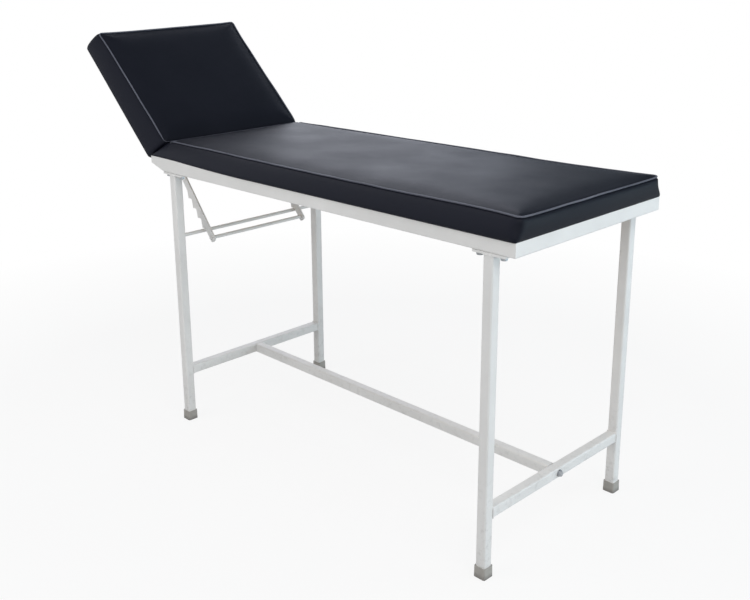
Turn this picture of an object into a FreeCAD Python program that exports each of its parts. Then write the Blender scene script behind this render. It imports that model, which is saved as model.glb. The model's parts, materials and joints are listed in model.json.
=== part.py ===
import FreeCAD, Part
import math
import os
from FreeCAD import Vector

# Examination table with a hinged head section held up by a notched prop.
#
# Millimetres, +Z up, +X towards the foot end, +Y towards the far side. Everything is laid out
# from the head end of the side rails (x = 0) and the middle of the table (y = 0), with the
# floor at z = 0, and is moved to the middle of the whole table when it is written out.
# The head section is drawn lying flat and then turned up about its hinge.

# Whole table
TABLE_WIDTH = 530.0         # over the side rails, and over both pads at their lower edges
FRAME_LENGTH = 1250.0       # side rails, head end to foot end
PAD_TOP = 810.0             # height of both pads with the head section flat
HEAD_LENGTH = 420.0         # head section, end to end
HEAD_ANGLE = 43.5           # head section's slope in the prop's highest notch

# Top frame of rectangular steel tube
RAIL_HEIGHT = 38.0
RAIL_WIDTH = 25.0
RAIL_RADIUS = 3.0
TUBE_WALL = 1.6
RAIL_TOP = 766.0
RAIL_NOSE = 20.0            # height of a side rail's head end, above its bevel
RAIL_BEVEL = 60.0           # length of that bevel
CROSS_RAIL = 20.0           # square tube across the head end, which carries the hinges
CROSS_RAIL_X = 15.0         # its face towards the head section
SLAT_WIDTH = 30.0
SLAT_HEIGHT = 15.0
SLAT_RADIUS = 2.0           # corners of the slats and of the head cross rail
SLAT_COUNT = 4
SLAT_END_GAP = 90.0         # from the ends of the seat board to the first and last slat

# Legs of square steel tube, each pair joined by a cross bar
LEG_SIZE = 25.0
LEG_RADIUS = 4.0
HEAD_LEG_X = 97.0
FOOT_LEG_INSET = 66.0       # from the foot end of the frame
CROSS_BAR_Z = 151.0         # height of the cross bars' and the stretcher's middle
FLANGE_LENGTH = 84.0
FLANGE_THICKNESS = 5.0
FLANGE_RADIUS = 4.0
FLANGE_BOLT_PITCH = 60.0
CAP_SIZE = 30.5             # plastic foot cap, at the floor
CAP_TAPER = 0.8             # how much narrower it is at its mouth
CAP_HEIGHT = 26.0
CAP_BASE = 6.0
CAP_RADIUS = 4.5

# Fasteners
FRAME_BOLT = 8.0            # flange bolts
FRAME_BOLT_HEAD = 13.0      # across the flats
FRAME_BOLT_HEAD_HEIGHT = 5.5
FRAME_WASHER = 17.0
FRAME_WASHER_THICKNESS = 1.6
FRAME_NUT_HEIGHT = 6.5
BOLT_SPARE = 2.0            # thread past a nut
BOLT_CLEARANCE = 0.3        # on the radius, where a bolt passes through a plain hole
HEAD_CROWN = 1.02           # a hexagonal head's round outer face, as a share of its flats
HEAD_CONE = 1.3             # how wide that rounding is at the head's base
STRETCHER_BOLT = 8.0
STRETCHER_BOLT_HEAD = 13.0
STRETCHER_BOLT_HEAD_HEIGHT = 5.5
STRETCHER_WASHER = 17.0
STRETCHER_WASHER_THICKNESS = 1.6
STRETCHER_PLATE = 4.0       # welded into each end of the stretcher, tapped for the bolt
STRETCHER_BOLT_SPARE = 5.0  # thread past that plate
SCREW = 4.0                 # board screws
SCREW_HEAD = 8.0
SCREW_HEAD_HEIGHT = 2.4
SCREW_GRIP = 9.0            # how deep a screw goes into its board
SCREW_INSET = 105.0         # of a slat's screws, from the table's long sides

# Upholstery: a plywood board, foam and a vinyl cover on each section
BOARD_THICKNESS = 12.0
BOARD_GAP = 1.0             # around the seat board, inside the frame
BOARD_SLACK = 0.5           # around the head board, inside its cover
FOAM_DEPTH = 53.0           # foam and cover above each board
COVER = 1.5
COVER_HEM = 24.0            # turned under the pad
PAD_SIDE_LEAN = 24.0        # top edge further in than the lower edge, on the long sides
PAD_END_LEAN = 4.0
PAD_CORNER = 9.0            # radius of the pad's upright corners
PAD_EDGE = 6.0              # radius of the pad's top edge
PAD_JOINT_GAP = 5.0         # head pad to the frame's head end, lying flat
PAD_RELIEF = 1.5            # room between the two pads where the raised one leans over
LEAF_RELIEF = 0.6           # room between the seat pad and the raised hinge leaves

# Hinges of the head section
HINGE_X = 10.0
HINGE_LEAF = 2.5
HINGE_BARREL = 9.0
HINGE_PIN = 5.0
HINGE_PIN_HEAD = 8.0
HINGE_PIN_HEAD_LENGTH = 1.5
HINGE_RUNNING = 0.05        # clearance on the radius
HINGE_LENGTH = 90.0
HINGE_KNUCKLES = 5
HINGE_KNUCKLE_GAP = 0.4
HINGE_INSET = 140.0         # of each hinge's middle, from the table's long sides
HINGE_LEAF_REACH = 58.0     # of the moving leaf, from the hinge line
HINGE_BOLT = 5.0
HINGE_BOLT_HEAD = 9.0
HINGE_BOLT_HEAD_HEIGHT = 2.5
HINGE_BOLT_X = 50.0         # from the hinge line
HINGE_BOLT_PITCH = 30.0
HINGE_NUT = 8.0
HINGE_NUT_HEIGHT = 4.0
HINGE_BOLT_SPARE = 1.0      # thread past its nut
LEAF_POCKET_GAP = 1.0       # in the head pad, around a moving leaf
BOLT_POCKET_GAP = 0.5       # in the head pad, around a hinge bolt's head
FIXED_LEAF_DROP = 9.0       # of the fixed leaf below the hinge line

# Steel bearers under the head board
BEARER = 25.0
BEARER_THICKNESS = 3.0
BEARER_START = 70.0         # from the hinge line
BEARER_END_GAP = 32.0       # from the board's far end
BEARER_NIP = 12.5           # corners cut off the upright flange
BEARER_SCREW_INSET = 30.0
TIE_WIDTH = 30.0            # flat bar across the two bearers

# Prop: two notched bars and a cross rod, hung from the bearers
PROP_PIVOT_REACH = 160.0    # from the hinge line, along the head section
PROP_PIN = 8.0
PROP_PIN_HEAD = 13.0
PROP_PIN_HEAD_HEIGHT = 3.0
PROP_RUNNING = 0.06         # clearance on the radius
PROP_SIDE_GAP = 0.4
PROP_WASHER = 14.0
PROP_WASHER_THICKNESS = 1.2
PROP_BAR_INSET = 100.0      # of each bar's middle, from the table's long sides
PROP_BAR_WIDTH = 20.0
PROP_BAR_THICKNESS = 5.0
PROP_TAIL = 47.0            # bar past its lowest notch
PROP_NIP = 4.0              # corners cut off the bar's lower end
PROP_ROD = 10.0
PROP_ROD_INSET = 12.0       # from the bar's lower end
PROP_ROD_STUB = 5.0         # rod past each bar
NOTCH_COUNT = 4
NOTCH_PITCH = 32.5          # so that the third notch holds the head section flat
NOTCH_LEDGE = 13.0          # flat under each tooth, level when the prop holds
NOTCH_RAMP = 28.0           # sloping back of each tooth, along the bar
CATCH_ROD = 10.0
CATCH_ROD_Z = 550.0
CATCH_GAP = 0.3             # between the ledge and the rod

# Places that follow from the sizes above
HALF_WIDTH = TABLE_WIDTH / 2
RAIL_BOTTOM = RAIL_TOP - RAIL_HEIGHT
RAIL_Z = RAIL_TOP - RAIL_HEIGHT / 2
RAIL_Y = HALF_WIDTH - RAIL_WIDTH / 2
RAIL_INSIDE = HALF_WIDTH - RAIL_WIDTH
LEG_Y = HALF_WIDTH - LEG_SIZE / 2
LEG_INSIDE = LEG_Y - LEG_SIZE / 2
FOOT_LEG_X = FRAME_LENGTH - FOOT_LEG_INSET
LEG_TOP = RAIL_BOTTOM - FLANGE_THICKNESS
SCREW_Y = HALF_WIDTH - SCREW_INSET
HINGE_Y = HALF_WIDTH - HINGE_INSET
PROP_BAR_Y = HALF_WIDTH - PROP_BAR_INSET
BOARD_TOP = PAD_TOP - FOAM_DEPTH
BOARD_BOTTOM = BOARD_TOP - BOARD_THICKNESS
SEAT_BOARD_START = CROSS_RAIL_X + CROSS_RAIL + BOARD_GAP
SEAT_BOARD_END = FRAME_LENGTH - RAIL_WIDTH - BOARD_GAP
HINGE_Z = BOARD_TOP + HINGE_LEAF / 2
HINGE = Vector(HINGE_X, 0, HINGE_Z)
HEAD_END = -PAD_JOINT_GAP - HEAD_LENGTH
HEAD_UNDERSIDE = BOARD_BOTTOM - COVER
PIVOT_FLAT = Vector(HINGE_X - PROP_PIVOT_REACH, 0, BOARD_BOTTOM - BEARER / 2)
CATCH = Vector(HEAD_LEG_X, 0, CATCH_ROD_Z)
STRETCHER_START = HEAD_LEG_X + LEG_SIZE / 2
STRETCHER_END = FOOT_LEG_X - LEG_SIZE / 2
BEARER_INSIDE = PROP_BAR_Y + PROP_BAR_THICKNESS / 2 + PROP_SIDE_GAP + PROP_WASHER_THICKNESS
BEARER_X0 = HEAD_END + BEARER_END_GAP
BEARER_X1 = HINGE_X - BEARER_START
SIDES = {"near": -1, "far": 1}


def turned(shape, degrees, centre=HINGE):
    """The shape turned about a line along Y through the centre; a positive turn lifts the head."""
    copy = shape.copy()
    copy.rotate(centre, Vector(0, 1, 0), degrees)
    return copy


def turned_point(point, degrees, centre=HINGE):
    turn = math.radians(degrees)
    x = point.x - centre.x
    z = point.z - centre.z
    return Vector(
        centre.x + x * math.cos(turn) + z * math.sin(turn),
        point.y,
        centre.z + z * math.cos(turn) - x * math.sin(turn))


PIVOT = turned_point(PIVOT_FLAT, HEAD_ANGLE)
HEAD_TIP = turned_point(Vector(HEAD_END, 0, HEAD_UNDERSIDE), HEAD_ANGLE)
ORIGIN_X = (FRAME_LENGTH + HEAD_TIP.x) / 2


def box(x0, x1, y0, y1, z0, z1):
    return Part.makeBox(x1 - x0, y1 - y0, z1 - z0, Vector(x0, y0, z0))


def cylinder_y(x, z, y0, y1, radius):
    return Part.makeCylinder(radius, y1 - y0, Vector(x, y0, z), Vector(0, 1, 0))


def cylinder_z(x, y, z0, z1, radius):
    return Part.makeCylinder(radius, z1 - z0, Vector(x, y, z0), Vector(0, 0, 1))


def cylinder_x(y, z, x0, x1, radius):
    return Part.makeCylinder(radius, x1 - x0, Vector(x0, y, z), Vector(1, 0, 0))


def rounded_wire(width, depth, radius, height=0.0):
    """A rectangle with round corners about the Z axis, width along X and depth along Y."""
    x = width / 2 - radius
    y = depth / 2 - radius
    diagonal = radius * math.sqrt(0.5)
    edges = []
    for cx, cy, start in ((x, y, 0), (-x, y, 90), (-x, -y, 180), (x, -y, 270)):
        a = math.radians(start)
        first = Vector(cx + radius * math.cos(a), cy + radius * math.sin(a), height)
        last = Vector(cx - radius * math.sin(a), cy + radius * math.cos(a), height)
        middle = Vector(
            cx + diagonal * (math.cos(a) - math.sin(a)),
            cy + diagonal * (math.sin(a) + math.cos(a)), height)
        edges.append((first, middle, last))
    wire = []
    for i, (first, middle, last) in enumerate(edges):
        wire.append(Part.Arc(first, middle, last).toShape())
        wire.append(Part.makeLine(last, edges[(i + 1) % 4][0]))
    return Part.Wire(wire)


def bar_z(width, depth, radius, z0, z1):
    """A solid bar of that section, standing."""
    return Part.Face(rounded_wire(width, depth, radius, z0)).extrude(Vector(0, 0, z1 - z0))


def tube_z(width, depth, radius, wall, z0, z1):
    outer = bar_z(width, depth, radius, z0, z1)
    inner = bar_z(width - 2 * wall, depth - 2 * wall, max(radius - wall, 0.5), z0, z1)
    return outer.cut(inner)


def laid_along_x(shape):
    """A standing shape laid down, so that its height runs along X and its width is upright."""
    return turned(shape, 90, Vector(0, 0, 0))


def laid_along_y(shape):
    """A standing shape laid down, so that its height runs along Y and its depth is upright."""
    copy = shape.copy()
    copy.rotate(Vector(0, 0, 0), Vector(1, 0, 0), -90)
    return copy


def moved(shape, x=0.0, y=0.0, z=0.0):
    copy = shape.copy()
    copy.translate(Vector(x, y, z))
    return copy


def on_side(shape, sign):
    """A shape drawn on the far side, or its mirror image on the near side."""
    if sign > 0:
        return shape
    return shape.mirror(Vector(0, 0, 0), Vector(0, 1, 0))


def prism_y(points, y0, y1):
    """A flat outline of (x, z) points, carried from y0 to y1."""
    corners = [Vector(x, y0, z) for x, z in points]
    face = Part.Face(Part.makePolygon(corners + corners[:1]))
    return face.extrude(Vector(0, y1 - y0, 0))


def prism_z(points, z0, z1):
    """A flat outline of (x, y) points, carried from z0 to z1."""
    corners = [Vector(x, y, z0) for x, y in points]
    face = Part.Face(Part.makePolygon(corners + corners[:1]))
    return face.extrude(Vector(0, 0, z1 - z0))


def hexagon(across, z0, z1):
    """A hexagonal bar about the Z axis, with two flats square to X."""
    radius = across / math.sqrt(3)
    turns = [math.radians(60 * i + 30) for i in range(6)]
    points = [(radius * math.cos(turn), radius * math.sin(turn)) for turn in turns]
    return prism_z(points, z0, z1)


def hex_bolt(diameter, across, head, length):
    """A bolt that points up: its head lies below z = 0 and its shank above."""
    blank = hexagon(across, -head, 0)
    crown = Part.makeCone(
        across / 2 * HEAD_CROWN, across / 2 * HEAD_CONE, head, Vector(0, 0, -head))
    return blank.common(crown).fuse(cylinder_z(0, 0, 0, length, diameter / 2)).removeSplitter()


def hex_nut(diameter, across, height):
    return hexagon(across, 0, height).cut(cylinder_z(0, 0, 0, height, diameter / 2))


def dome_screw(diameter, head, head_height, length):
    """A screw that points up, with a domed head below z = 0."""
    rise = head_height
    radius = (head * head / 4 + rise * rise) / (2 * rise)
    ball = Part.makeSphere(radius, Vector(0, 0, radius - rise))
    cap = ball.common(cylinder_z(0, 0, -rise, 0, head / 2))
    return cap.fuse(cylinder_z(0, 0, 0, length, diameter / 2)).removeSplitter()


def group(solids):
    return Part.makeCompound(solids)


# Top frame


def bevel_waste(lift):
    """What the bevel takes off the lower corner of a side rail, or of the bore inside it."""
    run = RAIL_BEVEL
    drop = RAIL_HEIGHT - RAIL_NOSE
    slope = drop / run
    raised = lift * math.sqrt(1 + slope * slope)
    low = RAIL_BOTTOM - RAIL_HEIGHT
    far = run + RAIL_HEIGHT / slope
    start = RAIL_TOP - RAIL_NOSE + raised
    points = [(-1, start + slope), (far, start - slope * far), (far, low), (-1, low)]
    return prism_y(points, -HALF_WIDTH, HALF_WIDTH)


def mitre_waste():
    """The corner beyond the two mitres at the foot end of the side rails."""
    top = RAIL_TOP + 1
    low = RAIL_BOTTOM - 1
    inside = FRAME_LENGTH - RAIL_WIDTH
    points = [
        (inside, -RAIL_INSIDE), (FRAME_LENGTH, -HALF_WIDTH), (FRAME_LENGTH + 1, -HALF_WIDTH),
        (FRAME_LENGTH + 1, HALF_WIDTH), (FRAME_LENGTH, HALF_WIDTH), (inside, RAIL_INSIDE)]
    return prism_z(points, low, top)


def leg_places():
    for end, x in (("head", HEAD_LEG_X), ("foot", FOOT_LEG_X)):
        for side, sign in SIDES.items():
            yield side + "_" + end, x, sign * LEG_Y


def flange_bolt_places():
    for name, x, y in leg_places():
        for step in (-0.5, 0.5):
            yield x + step * FLANGE_BOLT_PITCH, y


def side_rail(sign):
    """One long rail: a closed bevelled nose at the head end and a mitre at the foot end."""
    wall = TUBE_WALL
    outer = bar_z(RAIL_HEIGHT, RAIL_WIDTH, RAIL_RADIUS, 0, FRAME_LENGTH)
    inner = bar_z(
        RAIL_HEIGHT - 2 * wall, RAIL_WIDTH - 2 * wall, RAIL_RADIUS - wall, wall, FRAME_LENGTH)
    outer = moved(laid_along_x(outer), 0, sign * RAIL_Y, RAIL_Z).cut(bevel_waste(0))
    inner = moved(laid_along_x(inner), 0, sign * RAIL_Y, RAIL_Z).cut(bevel_waste(wall))
    rail = outer.cut(inner).cut(mitre_waste())
    for x, y in flange_bolt_places():
        if y * sign > 0:
            hole = cylinder_z(
                x, y, RAIL_BOTTOM - 1, RAIL_BOTTOM + 2 * wall, FRAME_BOLT / 2 + BOLT_CLEARANCE)
            rail = rail.cut(hole)
    return rail


def foot_end_rail():
    tube = tube_z(RAIL_WIDTH, RAIL_HEIGHT, RAIL_RADIUS, TUBE_WALL, -HALF_WIDTH, HALF_WIDTH)
    rail = moved(laid_along_y(tube), FRAME_LENGTH - RAIL_WIDTH / 2, 0, RAIL_Z)
    return rail.common(mitre_waste())


def head_cross_rail():
    tube = tube_z(CROSS_RAIL, CROSS_RAIL, SLAT_RADIUS, TUBE_WALL, -RAIL_INSIDE, RAIL_INSIDE)
    return moved(laid_along_y(tube), CROSS_RAIL_X + CROSS_RAIL / 2, 0, RAIL_TOP - CROSS_RAIL / 2)


def slat_places():
    first = SEAT_BOARD_START + SLAT_END_GAP
    last = SEAT_BOARD_END - SLAT_END_GAP
    for i in range(SLAT_COUNT):
        yield first + (last - first) * i / (SLAT_COUNT - 1)


def slat_screw_places():
    for x in slat_places():
        for sign in (-1, 1):
            yield x, sign * SCREW_Y


def seat_slat(x):
    tube = tube_z(SLAT_WIDTH, SLAT_HEIGHT, SLAT_RADIUS, TUBE_WALL, -RAIL_INSIDE, RAIL_INSIDE)
    slat = moved(laid_along_y(tube), x, 0, BOARD_BOTTOM - SLAT_HEIGHT / 2)
    for sign in (-1, 1):
        y = sign * SCREW_Y
        hole = cylinder_z(
            x, y, BOARD_BOTTOM - SLAT_HEIGHT - 1, BOARD_BOTTOM + 1, SCREW / 2 + BOLT_CLEARANCE)
        slat = slat.cut(hole)
    return slat


# Legs and what ties them


def leg(x, y):
    return moved(tube_z(LEG_SIZE, LEG_SIZE, LEG_RADIUS, TUBE_WALL, CAP_BASE, LEG_TOP), x, y)


def flange(x, y):
    """The plate welded on a leg's top end and bolted up into the rail."""
    plate = bar_z(FLANGE_LENGTH, RAIL_WIDTH, FLANGE_RADIUS, LEG_TOP, RAIL_BOTTOM)
    for step in (-0.5, 0.5):
        hole = cylinder_z(
            step * FLANGE_BOLT_PITCH, 0, LEG_TOP - 1, RAIL_BOTTOM + 1,
            FRAME_BOLT / 2 + BOLT_CLEARANCE)
        plate = plate.cut(hole)
    return moved(plate, x, y)


def flange_bolt(x, y):
    grip = FRAME_WASHER_THICKNESS + FLANGE_THICKNESS + TUBE_WALL
    reach = grip + FRAME_NUT_HEIGHT + BOLT_SPARE
    bolt = hex_bolt(FRAME_BOLT, FRAME_BOLT_HEAD, FRAME_BOLT_HEAD_HEIGHT, reach)
    return moved(bolt, x, y, LEG_TOP - FRAME_WASHER_THICKNESS)


def flange_washer(x, y):
    start = LEG_TOP - FRAME_WASHER_THICKNESS
    disc = cylinder_z(x, y, start, LEG_TOP, FRAME_WASHER / 2)
    bore = cylinder_z(x, y, start - 1, LEG_TOP + 1, FRAME_BOLT / 2 + BOLT_CLEARANCE)
    return disc.cut(bore)


def rail_nut(x, y):
    nut = hex_nut(FRAME_BOLT, FRAME_BOLT_HEAD, FRAME_NUT_HEIGHT)
    return moved(nut, x, y, RAIL_BOTTOM + TUBE_WALL)


def foot_cap(x, y):
    """A square plastic cup that the leg stands in."""
    foot = rounded_wire(CAP_SIZE, CAP_SIZE, CAP_RADIUS, 0)
    mouth_size = CAP_SIZE - CAP_TAPER
    mouth = rounded_wire(mouth_size, mouth_size, CAP_RADIUS, CAP_HEIGHT)
    cup = Part.makeLoft([foot, mouth], True, True)
    cup = cup.cut(bar_z(LEG_SIZE, LEG_SIZE, LEG_RADIUS, CAP_BASE, CAP_HEIGHT + 1))
    return moved(cup, x, y)


def cross_bar(x):
    """The bar between two legs, bored for the stretcher's bolt."""
    tube = tube_z(LEG_SIZE, LEG_SIZE, LEG_RADIUS, TUBE_WALL, -LEG_INSIDE, LEG_INSIDE)
    bar = moved(laid_along_y(tube), x, 0, CROSS_BAR_Z)
    radius = STRETCHER_BOLT / 2 + BOLT_CLEARANCE
    return bar.cut(cylinder_x(0, CROSS_BAR_Z, x - LEG_SIZE, x + LEG_SIZE, radius))


def stretcher():
    start = STRETCHER_START + STRETCHER_PLATE
    end = STRETCHER_END - STRETCHER_PLATE
    tube = tube_z(LEG_SIZE, LEG_SIZE, LEG_RADIUS, TUBE_WALL, start, end)
    return moved(laid_along_x(tube), 0, 0, CROSS_BAR_Z)


def stretcher_plate(x):
    plate = bar_z(LEG_SIZE, LEG_SIZE, LEG_RADIUS, x, x + STRETCHER_PLATE)
    plate = moved(laid_along_x(plate), 0, 0, CROSS_BAR_Z)
    return plate.cut(
        cylinder_x(0, CROSS_BAR_Z, x - 1, x + STRETCHER_PLATE + 1, STRETCHER_BOLT / 2))


def stretcher_bolts():
    length = STRETCHER_WASHER_THICKNESS + LEG_SIZE + STRETCHER_PLATE + STRETCHER_BOLT_SPARE
    bolt = hex_bolt(STRETCHER_BOLT, STRETCHER_BOLT_HEAD, STRETCHER_BOLT_HEAD_HEIGHT, length)
    at_head = laid_along_x(bolt)
    at_foot = turned(bolt, -90, Vector(0, 0, 0))
    outside = LEG_SIZE / 2 + STRETCHER_WASHER_THICKNESS
    return group([
        moved(at_head, HEAD_LEG_X - outside, 0, CROSS_BAR_Z),
        moved(at_foot, FOOT_LEG_X + outside, 0, CROSS_BAR_Z)])


def stretcher_washers():
    thick = STRETCHER_WASHER_THICKNESS
    washers = []
    for start in (HEAD_LEG_X - LEG_SIZE / 2 - thick, FOOT_LEG_X + LEG_SIZE / 2):
        disc = cylinder_x(0, CROSS_BAR_Z, start, start + thick, STRETCHER_WASHER / 2)
        bore = cylinder_x(
            0, CROSS_BAR_Z, start - 1, start + thick + 1, STRETCHER_BOLT / 2 + BOLT_CLEARANCE)
        washers.append(disc.cut(bore))
    return group(washers)


def catch_rod():
    """The fixed rod between the head legs, on which the prop's notches rest."""
    return cylinder_y(CATCH.x, CATCH.z, -LEG_INSIDE, LEG_INSIDE, CATCH_ROD / 2)


# Seat upholstery


def seat_board():
    inside = RAIL_INSIDE - BOARD_GAP
    board = box(
        SEAT_BOARD_START, SEAT_BOARD_END, -inside, inside, BOARD_BOTTOM, BOARD_TOP)
    for x, y in slat_screw_places():
        board = board.cut(
            cylinder_z(x, y, BOARD_BOTTOM - 1, BOARD_BOTTOM + SCREW_GRIP, SCREW / 2))
    return board


def seat_screws():
    length = SLAT_HEIGHT + SCREW_GRIP
    screw = dome_screw(SCREW, SCREW_HEAD, SCREW_HEAD_HEIGHT, length)
    return group([
        moved(screw, x, y, BOARD_BOTTOM - SLAT_HEIGHT) for x, y in slat_screw_places()])


def frustum(low, high):
    """A block between two level rectangles, each (x0, x1, half width, z)."""
    def corners(level):
        x0, x1, half, z = level
        return [Vector(x0, -half, z), Vector(x1, -half, z), Vector(x1, half, z),
                Vector(x0, half, z)]
    a = corners(low)
    b = corners(high)
    rings = [a[::-1], b]
    for i in range(4):
        j = (i + 1) % 4
        rings.append([a[i], a[j], b[j], b[i]])
    faces = [Part.Face(Part.makePolygon(ring + ring[:1])) for ring in rings]
    return Part.Solid(Part.Shell(faces))


def softened(block, top, corner, edge):
    """The block with round upright corners and a round top edge."""
    upright = [e for e in block.Edges if abs(e.Vertexes[0].Z - e.Vertexes[1].Z) > 1]
    block = block.makeFillet(corner, upright)
    rim = [e for e in block.Edges if all(abs(v.Z - top) < 0.01 for v in e.Vertexes)]
    return block.makeFillet(edge, rim)


def pad_form(x0, x1, lean0, lean1, base, inset):
    """A pad between x0 and x1 above its base, or the same form smaller all round by the inset."""
    rise = PAD_TOP - base
    low = (x0 + inset, x1 - inset, HALF_WIDTH - inset, base)
    high = (
        x0 + lean0 + inset, x1 - lean1 - inset, HALF_WIDTH - PAD_SIDE_LEAN - inset,
        base + rise - inset)
    return softened(frustum(low, high), high[3], PAD_CORNER - inset, PAD_EDGE - inset)


def seat_lean():
    """How far the seat pad's head end slopes back, to clear the raised head pad."""
    return (PAD_TOP - RAIL_TOP) * math.tan(math.radians(HEAD_ANGLE))


def seat_start():
    """Where the seat pad's head end starts, at the top of the rails."""
    low = turned_point(Vector(-PAD_JOINT_GAP, 0, BOARD_BOTTOM), HEAD_ANGLE)
    slope = math.tan(math.radians(HEAD_ANGLE))
    face = low.x + (RAIL_TOP - low.z) * slope
    return face + PAD_RELIEF / math.cos(math.radians(HEAD_ANGLE))


def seat_form(inset):
    """The seat pad's form, nipped at its lower head edge where the raised hinge leaves pass."""
    form = pad_form(seat_start(), FRAME_LENGTH, seat_lean(), PAD_END_LEAN, RAIL_TOP, inset)
    leaf = turned_point(Vector(HINGE_X, 0, BOARD_TOP + HINGE_LEAF), HEAD_ANGLE)
    nip = leaf.x - (RAIL_TOP - leaf.z) / math.tan(math.radians(HEAD_ANGLE)) + LEAF_RELIEF
    waste = box(
        seat_start() - 1, nip + inset, -HALF_WIDTH - 1, HALF_WIDTH + 1, RAIL_TOP - 1, PAD_TOP)
    return form.cut(waste)


def seat_filling():
    """What the seat's cover holds: the form inside it, less the hem turned in under it."""
    start = seat_start()
    hem = box(start, FRAME_LENGTH, -HALF_WIDTH, HALF_WIDTH, RAIL_TOP, RAIL_TOP + COVER)
    opening = box(
        start + COVER_HEM, FRAME_LENGTH - COVER_HEM, -HALF_WIDTH + COVER_HEM,
        HALF_WIDTH - COVER_HEM, RAIL_TOP - 1, RAIL_TOP + COVER + 1)
    return seat_form(COVER).cut(hem.cut(opening))


def seat_cover():
    """The vinyl over the seat foam, with its hem turned in on top of the rails."""
    return seat_form(0).cut(seat_filling())


def seat_foam():
    """The seat's foam: it fills the cover and steps down between the rails onto the board."""
    upper = seat_filling()
    inside = RAIL_INSIDE - BOARD_GAP
    step_start = SEAT_BOARD_START + BOARD_GAP
    step = box(
        step_start, SEAT_BOARD_END, -inside, inside, BOARD_TOP, RAIL_TOP + COVER)
    return upper.fuse(step).removeSplitter()


# Head section, drawn flat


def head_board():
    """Plywood inside the cover, whose sides lean in a little by the top of the board."""
    share = (BOARD_TOP - HEAD_UNDERSIDE) / (PAD_TOP - HEAD_UNDERSIDE)
    inset = COVER + BOARD_SLACK
    start = HEAD_END + inset + PAD_END_LEAN * share
    end = -PAD_JOINT_GAP - inset
    width = TABLE_WIDTH - 2 * (inset + PAD_SIDE_LEAN * share)
    board = moved(
        bar_z(end - start, width, PAD_CORNER, BOARD_BOTTOM, BOARD_TOP), (start + end) / 2)
    for x, y in hinge_bolt_places():
        board = board.cut(cylinder_z(x, y, BOARD_BOTTOM - 1, BOARD_TOP + 1, HINGE_BOLT / 2))
    for x, y in bearer_screw_places():
        board = board.cut(
            cylinder_z(x, y, BOARD_BOTTOM - 1, BOARD_BOTTOM + SCREW_GRIP, SCREW / 2))
    return board


def head_form(inset):
    return pad_form(
        HEAD_END, -PAD_JOINT_GAP, PAD_END_LEAN, 0, HEAD_UNDERSIDE, inset)


def leaf_pocket():
    """Room in the head pad for the moving hinge leaves and the heads of their bolts."""
    pockets = []
    reach = HINGE_X - HINGE_LEAF_REACH - LEAF_POCKET_GAP
    for sign in (-1, 1):
        y = sign * HINGE_Y
        half = HINGE_LENGTH / 2 + LEAF_POCKET_GAP
        pockets.append(box(reach, 0, y - half, y + half, BOARD_TOP, BOARD_TOP + HINGE_LEAF))
    for x, y in hinge_bolt_places():
        top = BOARD_TOP + HINGE_LEAF + HINGE_BOLT_HEAD_HEIGHT
        radius = HINGE_BOLT_HEAD / 2 + BOLT_POCKET_GAP
        pockets.append(cylinder_z(x, y, BOARD_TOP, top, radius))
    return pockets


def head_cover():
    """The vinyl around the head foam and its board, with its hem turned under."""
    shell = head_form(0)
    bore = head_form(COVER).cut(
        box(HEAD_END, 0, -HALF_WIDTH, HALF_WIDTH, HEAD_UNDERSIDE - 1, BOARD_BOTTOM))
    opening = box(
        HEAD_END + COVER_HEM, -PAD_JOINT_GAP - COVER_HEM, -HALF_WIDTH + COVER_HEM,
        HALF_WIDTH - COVER_HEM, HEAD_UNDERSIDE - 1, BOARD_BOTTOM + 1)
    shell = shell.cut(bore).cut(opening)
    for pocket in leaf_pocket():
        shell = shell.cut(pocket)
    return shell


def head_foam():
    foam = head_form(COVER).cut(
        box(HEAD_END, 0, -HALF_WIDTH, HALF_WIDTH, HEAD_UNDERSIDE - 1, BOARD_TOP))
    for pocket in leaf_pocket():
        foam = foam.cut(pocket)
    return foam


# Hinges


def hinge_bolt_places():
    for sign in (-1, 1):
        for step in (-1, 0, 1):
            yield HINGE_X - HINGE_BOLT_X, sign * HINGE_Y + step * HINGE_BOLT_PITCH


def knuckle_spans(centre, moving):
    """Where along Y the knuckles of one leaf lie; the moving leaf has the even ones."""
    pitch = HINGE_LENGTH / HINGE_KNUCKLES
    start = centre - HINGE_LENGTH / 2
    for i in range(HINGE_KNUCKLES):
        if (i % 2 == 1) == moving:
            yield start + i * pitch + HINGE_KNUCKLE_GAP / 2, (
                start + (i + 1) * pitch - HINGE_KNUCKLE_GAP / 2)


def hinge_bore(centre):
    radius = HINGE_PIN / 2 + HINGE_RUNNING
    half = HINGE_LENGTH / 2 + 1
    return cylinder_y(HINGE.x, HINGE.z, centre - half, centre + half, radius)


def fixed_leaf(centre):
    """The frame's half of one hinge, welded on the face of the head cross rail."""
    low = HINGE.z - FIXED_LEAF_DROP
    half = HINGE_LENGTH / 2
    strip = box(
        CROSS_RAIL_X - HINGE_LEAF, CROSS_RAIL_X, centre - half, centre + half,
        low, HINGE.z - HINGE_BARREL / 2 - HINGE_KNUCKLE_GAP)
    leaf = strip
    for y0, y1 in knuckle_spans(centre, False):
        leaf = leaf.fuse(cylinder_y(HINGE.x, HINGE.z, y0, y1, HINGE_BARREL / 2))
        leaf = leaf.fuse(box(HINGE.x, CROSS_RAIL_X, y0, y1, low, HINGE.z))
    return leaf.cut(hinge_bore(centre)).removeSplitter()


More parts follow.
